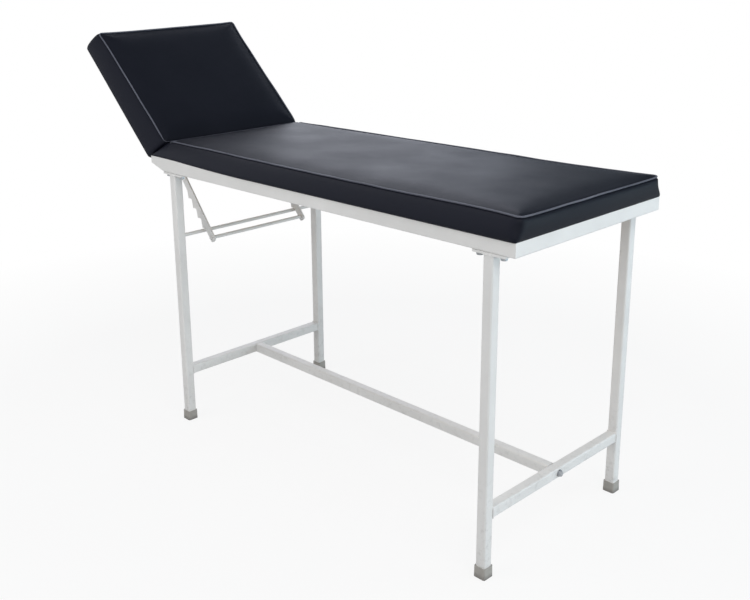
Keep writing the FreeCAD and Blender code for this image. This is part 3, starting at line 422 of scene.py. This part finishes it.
# %% Pad sizes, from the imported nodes
HALF_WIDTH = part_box("seat_cover")[1].y
SEAT_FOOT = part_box("seat_cover")[1].x
RAIL_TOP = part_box("side_rail_near")[1].z
PAD_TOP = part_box("seat_cover")[1].z
BOARD_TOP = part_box("seat_board")[1].z
BOARD_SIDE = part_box("seat_board")[1].y
BOARD_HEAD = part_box("seat_board")[0].x
BOARD_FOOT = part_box("seat_board")[1].x
HINGE = Vector(frame["joints"][0]["pos_m"])
RAISED = math.radians(43.5)
print("pad width", round(2 * HALF_WIDTH, 4), "top", round(PAD_TOP, 4), "hinge", HINGE[:])

# %% [markdown]
# Each pad is a closed form: a top panel, a side band sewn to it along a piped edge, and an
# underside that rests on the frame or wraps round the board. It could be blown up from a
# plain block, but a grid that already has the seam lines in the right places keeps its
# edges firm. The top panel is a grid, and every lower level is a ring with as many points
# as the grid's border, so the levels join in simple strips of quads.

# %% The pad builder
PANEL = -1


def smooth(t):
    """Goes softly from 0 to 1 while t does."""
    t = min(max(t, 0.0), 1.0)
    return t * t * (3 - 2 * t)


def shares(low, high, size, finer, reach):
    """Shares of the way from low to high, closer together within reach of each end."""
    length = high - low
    places, at = [], 0.0
    while at < length - size * 0.5:
        places.append(at)
        at += finer if min(at, length - at) < reach else size
    places.append(length)
    return [p / length for p in places]


def rounded(x, y, rect, radius):
    """A point of the plan, moved so that the plan's corners become round."""
    x0, x1, half = rect
    cx = min(max(x, x0 + radius), x1 - radius)
    cy = min(max(y, -half + radius), half - radius)
    dx, dy = x - cx, y - cy
    length = math.hypot(dx, dy)
    if length < 1e-9 or abs(dx) < 1e-9 or abs(dy) < 1e-9:
        return x, y
    share = max(abs(dx), abs(dy)) / length
    return cx + dx * share, cy + dy * share


def pad_mesh(name, us, vs, levels, settle):
    """levels are (x0, x1, half, z, radius) from the panel's border down and under."""
    nu, nv = len(us), len(vs)
    border = [(i, 0) for i in range(nu)] + [(nu - 1, j) for j in range(1, nv)]
    border += [(i, nv - 1) for i in range(nu - 2, -1, -1)] + [(0, j) for j in range(nv - 2, 0, -1)]
    points, faces, kinds = [], [], []

    def place(i, j, number):
        x0, x1, half, z, radius = levels[number]
        x = x0 + (x1 - x0) * us[i]
        y = -half + 2 * half * vs[j]
        x, y = rounded(x, y, (x0, x1, half), radius)
        return settle(x, y, z, number)

    panel = {}
    for i in range(nu):
        for j in range(nv):
            panel[i, j] = len(points)
            points.append(place(i, j, 0))
            kinds.append(0 if i in (0, nu - 1) or j in (0, nv - 1) else PANEL)
    for i in range(nu - 1):
        for j in range(nv - 1):
            faces.append((panel[i, j], panel[i + 1, j], panel[i + 1, j + 1], panel[i, j + 1]))
    above = [panel[key] for key in border]
    for number in range(1, len(levels)):
        below = []
        for i, j in border:
            below.append(len(points))
            points.append(place(i, j, number))
            kinds.append(number)
        for k in range(len(border)):
            after = (k + 1) % len(border)
            faces.append((above[k], below[k], below[after], above[after]))
        above = below
    inner = dict(zip(border, above))
    for i in range(1, nu - 1):
        for j in range(1, nv - 1):
            inner[i, j] = len(points)
            points.append(place(i, j, len(levels) - 1))
            kinds.append(len(levels))
    for i in range(nu - 1):
        for j in range(nv - 1):
            faces.append((inner[i, j], inner[i, j + 1], inner[i + 1, j + 1], inner[i + 1, j]))
    mesh = bpy.data.meshes.new(name)
    mesh.from_pydata(points, [], faces)
    mesh.update()
    thing = bpy.data.objects.new(name, mesh)
    bpy.context.scene.collection.objects.link(thing)
    return thing, kinds


print("pad builder ready")

# %% [markdown]
# The seat pad sits on the rails and steps down between them onto its board. Its head end
# leans back, because the raised head section presses against it. The levels below are
# read from the top seam down: the panel's border under the piping, the side band, the lip
# that hangs a little over the rail, the hem on the rails, and the step down to the board.

# %% Seat pad form
LEAN = math.tan(RAISED)
SEAM_DROP = 0.0044
SEAT_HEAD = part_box("seat_cover")[0].x - 0.0052
SEAT_SPAN = SEAT_FOOT - SEAT_HEAD
HEAD_DIP = 0.0039


def seat_level(drop, inset):
    """One ring of the seat's side, a drop below the pad's top, leaning with its ends."""
    z = PAD_TOP - drop
    pressed_z = z - HEAD_DIP * (z - RAIL_TOP) / (PAD_TOP - RAIL_TOP)
    x0 = SEAT_HEAD + (pressed_z - RAIL_TOP) * LEAN + 0.0006 + inset * 0.3
    radius = 0.0045 + 0.022 * math.sin(math.pi * min(1, drop / (PAD_TOP - RAIL_TOP)))
    return x0, SEAT_FOOT + 0.0018 - inset, HALF_WIDTH - inset, z, radius


seat_levels = [
    seat_level(SEAM_DROP + 0.0010, 0.0050),
    seat_level(SEAM_DROP + 0.0042, 0.0014),
    seat_level(0.0100, 0.0004),
    seat_level(0.0150, 0.0),
    seat_level(0.0205, 0.0),
    seat_level(0.0260, 0.0),
    seat_level(0.0315, 0.0),
    seat_level(0.0365, 0.0),
    seat_level(0.0405, 0.0002),
    seat_level(0.0432, 0.0010),
    seat_level(0.0446, 0.0018),
    (SEAT_HEAD + 0.0010, SEAT_FOOT + 0.0005, HALF_WIDTH + 0.0005, RAIL_TOP + 0.0002, 0.003),
    (SEAT_HEAD + 0.0060, SEAT_FOOT - 0.0040, HALF_WIDTH - 0.0040, RAIL_TOP + 0.0003, 0.003),
    (SEAT_HEAD + 0.0300, SEAT_FOOT - 0.0180, HALF_WIDTH - 0.0180, RAIL_TOP + 0.0003, 0.006),
    (BOARD_HEAD + 0.0020, BOARD_FOOT - 0.0010, BOARD_SIDE - 0.0010, RAIL_TOP + 0.0003, 0.003),
    (BOARD_HEAD + 0.0020, BOARD_FOOT - 0.0010, BOARD_SIDE - 0.0010, BOARD_TOP + 0.0004, 0.003),
]
SEAT_LIP = 10
print("seat head end", round(SEAT_HEAD, 4), "levels", len(seat_levels))

# %% [markdown]
# When the head section is laid flat, the squeezed foam springs back and fills the gap. Here
# that is worked out as a blend: the top edge of the seat's leaning end turns with the head
# section, and its share of the turn fades out over a short way. To look level when flat, the
# end must look a little sunken here, where it is squeezed. How much is found by halving an
# interval until the turned point comes out at the height that it should have.

# %% The seat's squeezed end
FADE_LENGTH = 0.0099
FADE_AWAY = Vector((0.574, 0, -0.8187))
seam_z = seat_levels[0][3]
blend_end = Vector((seat_levels[0][0], 0, seam_z - HEAD_DIP))
blend_start = blend_end + FADE_LENGTH * FADE_AWAY
fade = blend_end - blend_start


def turned_height(x, z):
    """How high a point of the seat lies once the head section is flat."""
    share = smooth((Vector((x, 0, z)) - blend_start).dot(fade) / fade.length_squared)
    angle = share * RAISED
    return HINGE.z + (x - HINGE.x) * math.sin(angle) + (z - HINGE.z) * math.cos(angle)


def squeezed(x, flat_z):
    """The height at rest of a point that should lie at flat_z once all is flat."""
    low, high = flat_z - 0.03, flat_z + 0.002
    for _ in range(24):
        middle = (low + high) / 2
        if turned_height(x, middle) < flat_z:
            low = middle
        else:
            high = middle
    return middle


print("squeezed end", [round(squeezed(blend_end.x + d, PAD_TOP), 4) for d in (0, 0.01, 0.02, 0.04)])

# %% [markdown]
# A block with straight edges looks like a box, not like a pad. The cover was cut tight, so its
# top seam runs in between the corners, most at the head end, the band bellies out below the
# seam, and the lip sags over the rail. One function moves every point of the block to where
# the cover would bring it. Sculpting could do that too, but then it couldn't follow the sizes.

# %% How the seat's cover settles
SHOULDER = 0.0048
SHOULDER_REACH = 0.010
SEAM_IN = 0.0420
SEAM_WIDENS = 0.0150
WIDENS_OVER = 0.75
CORNER_OUT = 0.0165
CORNER_REACH = 0.17
CORNER_RISE = 0.0036
OVERHANG = 0.0050
SAG = 0.0060
BELLY = 0.0030
FOOT_HOLLOW = 0.0030


def seam_half(x):
    """Half the width of the seat's top at x: narrow at the head end, with proud foot corners."""
    from_head = x - SEAT_HEAD
    to_foot = SEAT_FOOT - x
    half = HALF_WIDTH - SEAM_IN + SEAM_WIDENS * smooth(from_head / WIDENS_OVER)
    return half + CORNER_OUT * max(0.0, 1.0 - to_foot / CORNER_REACH) ** 2


def shoulder(x, y, level):
    """How far the panel stands above its border: nothing at the seam, all of it soon inboard."""
    inboard = min(x - level[0], level[1] - x, level[2] - abs(y))
    return SHOULDER * smooth(inboard / SHOULDER_REACH)


def bare_share(z):
    """How high a point is on the seat: 0 at the rails, 1 at the top."""
    return min(max((z - RAIL_TOP) / (PAD_TOP - RAIL_TOP), 0.0), 1.0)


def seat_free(x, y, z, number):
    """Moves a point of the block to where a tight cover would bring it with the head flat."""
    if number == 0:
        z += shoulder(x, y, seat_levels[0])
    bare = bare_share(z)
    along = smooth((x - SEAT_HEAD + 0.03) / 0.45)
    low = HALF_WIDTH + OVERHANG * along
    half = low - (low - seam_half(x)) * bare ** 1.35 + BELLY * math.sin(math.pi * bare)
    across = y / HALF_WIDTH
    foot = smooth((x - SEAT_HEAD) / SEAT_SPAN * 4 - 3)
    x += foot * (BELLY * math.sin(math.pi * bare) - FOOT_HOLLOW * bare * (1 - across * across))
    z += CORNER_RISE * bare * foot * across ** 8
    z -= SAG * along * (1 - bare) ** 2
    return x, across * half, z


def seat_settle(x, y, z, number):
    """The same with the head end squeezed, as it is while the head section is raised."""
    if number > SEAT_LIP:
        return x, y, z
    bare = bare_share(z)
    x, y, z = seat_free(x, y, z, number)
    if number == 0:
        return x, y, squeezed(x, z)
    return x, y, z - (seam_z - squeezed(x, seam_z)) * bare ** 2


us = shares(seat_levels[0][0], seat_levels[0][1], 0.009, 0.0040, 0.030)
vs = shares(-seat_levels[0][2], seat_levels[0][2], 0.009, 0.0040, 0.026)
seat_pad, seat_kinds = pad_mesh("seat_pad", us, vs, seat_levels, seat_settle)
print("seat points", len(seat_pad.data.vertices))

# %% [markdown]
# The head pad is drawn lying flat and turned up about the hinge at the end. Its cover
# wraps round the board: the last levels turn under the board as a hem, come back outward
# between hem and board, pass up beside the board's edge and close over its top.

# %% Head pad form
HEAD_CORNER = 0.010
HEM_CORNER = 0.008
RIM = 0.0004
FLAT = Matrix.Translation(HINGE) @ Matrix.Rotation(-RAISED, 4, "Y") @ Matrix.Translation(-HINGE)
UPRIGHT = Matrix.Translation(HINGE) @ Matrix.Rotation(RAISED, 4, "Y") @ Matrix.Translation(-HINGE)


def flat_box(name):
    """A node's lowest and highest corners with the head section turned down flat."""
    spots = [FLAT @ v.co for v in nodes[name].data.vertices]
    low = Vector(min(s[k] for s in spots) for k in range(3))
    high = Vector(max(s[k] for s in spots) for k in range(3))
    return low, high


head_low, head_high = flat_box("head_cover")
board_low, board_high = flat_box("head_board")
print("head pad flat", [round(v, 4) for v in (*head_low, *head_high)])
print("board flat", [round(v, 4) for v in (*board_low, *board_high)])


def head_level(drop, inset):
    """One ring of the head pad's side, a drop below its top."""
    x0 = head_low.x + 0.003 + inset
    x1 = head_high.x - 0.0003 - inset * 0.5
    return x0, x1, HALF_WIDTH - inset, head_high.z - drop, HEAD_CORNER


def under(inset, z):
    """One ring of the hem under the board."""
    return head_low.x + inset, head_high.x - inset, HALF_WIDTH - inset, z, HEM_CORNER


past_board = (board_low.x - RIM, board_high.x + RIM, board_high.y + RIM)
head_levels = [
    head_level(SEAM_DROP + 0.0010, 0.0050),
    head_level(SEAM_DROP + 0.0042, 0.0014),
    head_level(0.0110, 0.0004),
    head_level(0.0190, 0.0),
    head_level(0.0270, 0.0),
    head_level(0.0350, 0.0),
    head_level(0.0430, 0.0),
    head_level(0.0510, 0.0),
    head_level(0.0590, 0.0004),
    head_level(0.0635, 0.0012),
    head_level(0.0656, 0.0026),
    under(0.0050, head_low.z),
    under(0.0140, head_low.z),
    under(0.0240, head_low.z),
    under(0.0240, board_low.z - 0.0002),
    (*past_board, board_low.z - 0.0002, 0.006),
    (*past_board, board_high.z + 0.0004, 0.006),
]
HEAD_LIP = 10
print("head pad levels", len(head_levels))

# %% [markdown]
# The head pad's cover settles in the same way. The pull of the staples at the back draws its
# top seam in from the sides, and the corners at the free end stay proud. The free edge isn't
# quite square: covers are cut by hand, and this one reaches further out on the far side.

# %% How the head pad's cover settles
HEAD_SPAN = head_high.x - head_low.x
HEAD_SEAM_IN = 0.0290
HEAD_SAG = 0.0060
END_DIP = 0.0020


def head_settle(x, y, z, number):
    """The top seam runs in from the sides, and the corners at the free end stay proud."""
    if number > HEAD_LIP:
        return x, y, z
    if number == 0:
        z += shoulder(x, y, head_levels[0])
    share = (z - head_low.z) / (head_high.z - head_low.z)
    bare = min(max(share, 0.0), 1.0)
    free = 1 - smooth((x - head_low.x) / HEAD_SPAN)
    across = y / HALF_WIDTH
    corner = max(0.0, 1 - (x - head_low.x) / 0.10) ** 2
    seam = HALF_WIDTH - HEAD_SEAM_IN + 0.0050 * free + 0.0060 * corner
    half = HALF_WIDTH - (HALF_WIDTH - seam) * bare ** 1.6 + 0.0020 * math.sin(math.pi * bare)
    z -= HEAD_SAG * (1 - 0.6 * free) * (1 - bare) ** 2
    z -= END_DIP * (1 - 0.7 * across ** 4) * bare * smooth((x - head_high.x) / 0.030 + 1)
    x -= max(free * 2 - 1, 0.0) * bare * (0.0070 * across + 0.0030 * across ** 4)
    return x, across * half - 0.0050 * max(across, 0.0) * free * bare, z


us = shares(head_levels[0][0], head_levels[0][1], 0.008, 0.0040, 0.024)
vs = shares(-head_levels[0][2], head_levels[0][2], 0.008, 0.0040, 0.026)
head_pad, head_kinds = pad_mesh("head_pad", us, vs, head_levels, head_settle)
print("head points", len(head_pad.data.vertices))

# %% [markdown]
# Foam pushes its cover outward everywhere except at the seams and where it is held down.
# A cloth simulation shows that: the cover is cloth with a little air pressure inside, held
# fast along the piped border, the lower edge and the face that meets the other pad. Twenty
# steps are enough. How far a point may move is capped softly, because foam is firmer than
# air. The swollen shape is then written into the mesh and the simulation is taken off, so
# that a plain mesh is what moves with the table.

# %% Let the foam swell the covers
CLOTH_STEPS = 20
PRESSURE = 4.0
PANEL_CAP = 0.0060
BAND_CAP = 0.0022
BAND_LEVELS = range(3, 9)
HELD_END = 0.022


def swell(pad, free, cap):
    """Blows the pad's free points outward and keeps each within the cap."""
    start = np.array([v.co for v in pad.data.vertices])
    held = pad.vertex_groups.new(name="held")
    held.add([i for i in range(len(start)) if not free[i]], 1.0, "REPLACE")
    cloth = pad.modifiers.new("cloth", "CLOTH")
    cloth.settings.vertex_group_mass = "held"
    cloth.settings.quality = 5
    cloth.settings.mass = 0.4
    cloth.settings.tension_stiffness = 15
    cloth.settings.compression_stiffness = 15
    cloth.settings.shear_stiffness = 8
    cloth.settings.bending_stiffness = 1.5
    cloth.settings.use_pressure = True
    cloth.settings.uniform_pressure_force = PRESSURE
    cloth.settings.effector_weights.gravity = 0
    cloth.collision_settings.use_collision = False
    cloth.point_cache.frame_start = 1
    cloth.point_cache.frame_end = CLOTH_STEPS
    for step in range(1, CLOTH_STEPS + 1):
        bpy.context.scene.frame_set(step)
    shaped = pad.evaluated_get(bpy.context.evaluated_depsgraph_get())
    end = np.array([v.co for v in shaped.data.vertices])
    pad.modifiers.remove(cloth)
    pad.vertex_groups.remove(held)
    bpy.context.scene.frame_set(1)
    move = end - start
    far = np.linalg.norm(move, axis=1, keepdims=True)
    share = np.where(far > 1e-9, cap[:, None] * np.tanh(far / cap[:, None]) / np.maximum(far, 1e-9), 0)
    place = start + move * share
    pad.data.vertices.foreach_set("co", place.astype(np.float32).ravel())
    pad.data.update()
    print(pad.name, "blown", round(float(far.max()), 4), "kept", round(float((far * share).max()), 4))


def loose(pad, kinds, still):
    """Which points are free, and how far each may go."""
    free, cap = [], []
    for vertex, kind in zip(pad.data.vertices, kinds):
        free.append((kind == PANEL or kind in BAND_LEVELS) and not still(vertex.co))
        cap.append(PANEL_CAP if kind == PANEL else BAND_CAP)
    return free, np.array(cap)


def seat_still(spot):
    """The seat's leaning head end, which the head pad presses flat."""
    return spot.x < SEAT_HEAD + (spot.z - RAIL_TOP) * LEAN + HELD_END


def head_still(spot):
    """The head pad's face towards the seat."""
    return spot.x > head_high.x - 0.002


swell(seat_pad, *loose(seat_pad, seat_kinds, seat_still))
swell(head_pad, *loose(head_pad, head_kinds, head_still))

# %% [markdown]
# Piping, staples and weld beads are all tubes of changing thickness. A curve with a bevel
# could draw them, but its corners twist, and the export wants plain meshes. So a short
# function walks along a path and sets a ring of points round each place on it.

# %% Tubes along a path
UPWARD = Vector((0, 0, 1))


def tube(path, radii, facing, sides=10, closed=True):
    """Points and faces of a tube along a path that lies in the plane square to facing."""
    count = len(path)
    points, faces = [], []
    for k, spot in enumerate(path):
        after = path[(k + 1) % count] if closed else path[min(k + 1, count - 1)]
        before = path[k - 1] if closed else path[max(k - 1, 0)]
        ahead = (after - before).normalized()
        across = ahead.cross(facing).normalized()
        over = across.cross(ahead).normalized()
        for side in range(sides):
            angle = 2 * math.pi * side / sides
            points.append(spot + radii[k] * (math.cos(angle) * across + math.sin(angle) * over))
    for k in range(count if closed else count - 1):
        after = (k + 1) % count
        for side in range(sides):
            beside = (side + 1) % sides
            here, there = k * sides, after * sides
            faces.append((here + side, here + beside, there + beside, there + side))
    if not closed:
        faces.append(tuple(range(sides)))
        faces.append(tuple(reversed(range((count - 1) * sides, count * sides))))
    return points, faces


def piece_of(name, parts, material):
    """One smooth object made of several lots of points and faces."""
    points, faces = [], []
    for some_points, some_faces in parts:
        start = len(points)
        points += [p[:] for p in some_points]
        faces += [tuple(start + k for k in face) for face in some_faces]
    mesh = bpy.data.meshes.new(name)
    mesh.from_pydata(points, [], faces)
    mesh.update()
    checked = bmesh.new()
    checked.from_mesh(mesh)
    bmesh.ops.recalc_face_normals(checked, faces=checked.faces)
    checked.to_mesh(mesh)
    checked.free()
    mesh.polygons.foreach_set("use_smooth", [True] * len(mesh.polygons))
    thing = bpy.data.objects.new(name, mesh)
    bpy.context.scene.collection.objects.link(thing)
    mesh.materials.append(material)
    return thing


print("tube builder ready")

# %% [markdown]
# A narrow piping runs round the top seam of each pad. It is a cord wrapped in vinyl, and it
# shows as a thin pale line, which is a painted highlight: its vinyl is painted much lighter
# than the pad's. A tube along the seam draws it. Real piping is pulled a little to and fro by
# its stitches, so the tube wanders by half a millimetre. Where the two pads meet it is squeezed
# into the crease, so there the tube is thin.

# %% Piping
PIPING = 0.0020
PIPING_LIFT = 0.0010
PIPING_OUT = 0.0024
PIPING_STEP = 0.006
THIN = 0.3
THIN_OVER = 0.03


def seam_loop(level, settle):
    """Points round a pad's top seam, evenly spaced, with round corners."""
    x0, x1, half, z, corner = level
    loop = []
    sides = [
        ((x0, -half), (x1, -half)), ((x1, -half), (x1, half)),
        ((x1, half), (x0, half)), ((x0, half), (x0, -half))]
    for (ax, ay), (bx, by) in sides:
        count = round(math.hypot(bx - ax, by - ay) / PIPING_STEP)
        for k in range(count):
            x, y = ax + (bx - ax) * k / count, ay + (by - ay) * k / count
            x, y = rounded(x, y, (x0, x1, half), corner)
            wander = noise.noise(Vector((x * 14, y * 14, 3.1)))
            spot = Vector(settle(x, y, z, 0))
            loop.append(spot + Vector((0, 0.0006 * wander, PIPING_LIFT + 0.0007 * wander)))
    return loop


def squeezed_tube(path, radii):
    """The seat's piping: a round tube with the head section flat, flattened while it is raised."""
    points, faces = tube(path, radii, UPWARD)
    return [Vector((p.x, p.y, squeezed(p.x, p.z))) for p in points], faces


def widened(level):
    """A level a little larger than the seam, so that the piping lies outside it."""
    x0, x1, half, z, corner = level
    return x0 - PIPING_OUT * 0.3, x1 + PIPING_OUT, half + PIPING_OUT, z, corner


def thickness(from_crease):
    """The piping's radius at a distance from the crease between the pads."""
    return PIPING * (THIN + (1 - THIN) * smooth(from_crease / THIN_OVER))


seat_loop = seam_loop(widened(seat_levels[0]), seat_free)
head_loop = seam_loop(widened(head_levels[0]), head_settle)
seat_radii = [thickness(p.x - seat_levels[0][0]) for p in seat_loop]
head_radii = [thickness(head_levels[0][1] - p.x) for p in head_loop]
seat_piping = piece_of("seat_piping", [squeezed_tube(seat_loop, seat_radii)], piping_highlight_vinyl)
head_piping = piece_of("head_piping", [tube(head_loop, head_radii, UPWARD)], piping_highlight_vinyl)
print("piping points", len(seat_piping.data.vertices), len(head_piping.data.vertices))

# %% [markdown]
# Upholsterers pull the cover round the head board and staple its hem to the back. Each
# staple is a short wire with both ends driven into the wood. They follow the hem on all
# four sides, evenly spaced but never quite straight, because a hand holds the gun.

# %% Staples on the head board
STAPLE_HALF = 0.0050
STAPLE_WIRE = 0.0005
HEM_LINE = 0.0165
ALONG_SIDE = 13
ALONG_END = 15
hand = random.Random(7)


def staple(spot, heading):
    """One staple flat against the hem, whose surface faces down in the flat position."""
    along = Vector((math.cos(heading), math.sin(heading), 0))
    sink = Vector((0, 0, 0.0012))
    path = [
        spot - along * STAPLE_HALF + sink, spot - along * STAPLE_HALF,
        spot + along * STAPLE_HALF, spot + along * STAPLE_HALF + sink]
    return tube(path, [STAPLE_WIRE] * 4, along.cross(UPWARD), sides=6, closed=False)


staples = []
hem_x = (head_low.x + HEM_LINE, head_high.x - HEM_LINE)
hem_y = HALF_WIDTH - HEM_LINE
hem_z = head_low.z - STAPLE_WIRE * 0.5
for side in (-1, 1):
    for k in range(ALONG_SIDE):
        x = hem_x[0] + (hem_x[1] - hem_x[0]) * (k + 0.5) / ALONG_SIDE + hand.uniform(-0.003, 0.003)
        spot = Vector((x, side * hem_y + hand.uniform(-0.002, 0.002), hem_z))
        staples.append(staple(spot, hand.uniform(-0.2, 0.2)))
for x in hem_x:
    for k in range(ALONG_END):
        y = -hem_y + 2 * hem_y * (k + 0.5) / ALONG_END + hand.uniform(-0.003, 0.003)
        spot = Vector((x + hand.uniform(-0.002, 0.002), y, hem_z))
        staples.append(staple(spot, math.pi / 2 + hand.uniform(-0.2, 0.2)))
head_staples = piece_of("head_staples", staples, zinc)
print("staples", len(staples))

# %% [markdown]
# The pads get their vinyl. Each stands for a cover and its foam from the imported table.
# Everything on the head pad was drawn flat, so it is turned up about the hinge first and then
# rides on its body.

# %% Dress the pads and place them on their bodies
for pad in (seat_pad, head_pad):
    pad.data.materials.append(vinyl)
    pad.data.polygons.foreach_set("use_smooth", [True] * len(pad.data.polygons))
for thing in (head_pad, head_piping, head_staples):
    thing.data.transform(UPRIGHT)
    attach(thing, "head_section")
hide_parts("seat_cover", "seat_foam")
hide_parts("head_cover", "head_foam")

# %% [markdown]
# Here the seat and its piping have their placement written into their points, and the two
# points chosen above are printed: between them lies the short way over which the seat's turn
# with the head section fades out.

# %% Fix the seat's placement and print the blend points
for thing in (seat_pad, seat_piping):
    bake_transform(thing)
print("blend from", [round(v, 4) for v in blend_start], "to", [round(v, 4) for v in blend_end])

# %% [markdown]
# The frame is welded, and the powder coat runs over the beads. A bead is a row of small
# overlapping drops, so a tube whose thickness ripples along a loop round the joint looks
# right. Half of it is sunk in the metal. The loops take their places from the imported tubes.

# %% Weld beads
BEAD = 0.0021
BEAD_STEP = 0.0016
SQUARENESS = 9
ALONG_Y = Vector((0, 1, 0))


def bead(path, facing, size):
    """A weld bead: its thickness ripples with the drops and wanders a little."""
    radii = []
    for k, spot in enumerate(path):
        lump = noise.noise(spot * 330)
        radii.append(size * (1 + 0.16 * math.sin(k * 1.7) + 0.35 * lump))
    return tube(path, radii, facing, sides=8)


def square_path(centre, first, second):
    """A loop round a square tube; first and second reach from the middle to its faces."""
    around = []
    count = max(8, round(4 * (first.length + second.length) / BEAD_STEP))
    for k in range(count):
        angle = 2 * math.pi * k / count
        c, s = math.cos(angle), math.sin(angle)
        reach = (abs(c) ** SQUARENESS + abs(s) ** SQUARENESS) ** (-1 / SQUARENESS)
        around.append(centre + first * (c * reach) + second * (s * reach))
    return around


def joint_at(name, side):
    """The middle and half sizes of a cross tube's end on the near (-1) or far (1) side."""
    low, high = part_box(name)
    middle = Vector(((low.x + high.x) / 2, (low.y, high.y)[side > 0], (low.z + high.z) / 2))
    return middle, Vector(((high.x - low.x) / 2, 0, 0)), Vector((0, 0, (high.z - low.z) / 2))


beads = []
crossing = ["cross_bar_head", "cross_bar_foot", "catch_rod", "head_cross_rail"]
crossing += [f"seat_slat_{k}" for k in (1, 2, 3, 4)]
for name in crossing:
    for side in (-1, 1):
        beads.append(bead(square_path(*joint_at(name, side)), ALONG_Y, BEAD))
for where_leg in ("near_head", "far_head", "near_foot", "far_foot"):
    low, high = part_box(f"leg_{where_leg}")
    top = Vector(((low.x + high.x) / 2, (low.y + high.y) / 2, high.z))
    reach_x, reach_y = Vector(((high.x - low.x) / 2, 0, 0)), Vector((0, (high.y - low.y) / 2, 0))
    beads.append(bead(square_path(top, reach_x, reach_y), UPWARD, BEAD * 0.9))
frame_beads = piece_of("frame_weld_beads", beads, powder)
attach(frame_beads, "frame")

rod_low, rod_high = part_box("prop_cross_rod")
rod = Vector(((rod_low.x + rod_high.x) / 2, 0, (rod_low.z + rod_high.z) / 2))
rod_reach = (Vector((rod_high.x - rod.x, 0, 0)), Vector((0, 0, rod_high.z - rod.z)))
beads = []
for name in ("prop_bar_near", "prop_bar_far"):
    for y in (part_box(name)[0].y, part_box(name)[1].y):
        beads.append(bead(square_path(rod + ALONG_Y * y, *rod_reach), ALONG_Y, BEAD * 0.7))
prop_beads = piece_of("prop_weld_beads", beads, powder)
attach(prop_beads, "prop")
print("bead points", len(frame_beads.data.vertices), len(prop_beads.data.vertices))
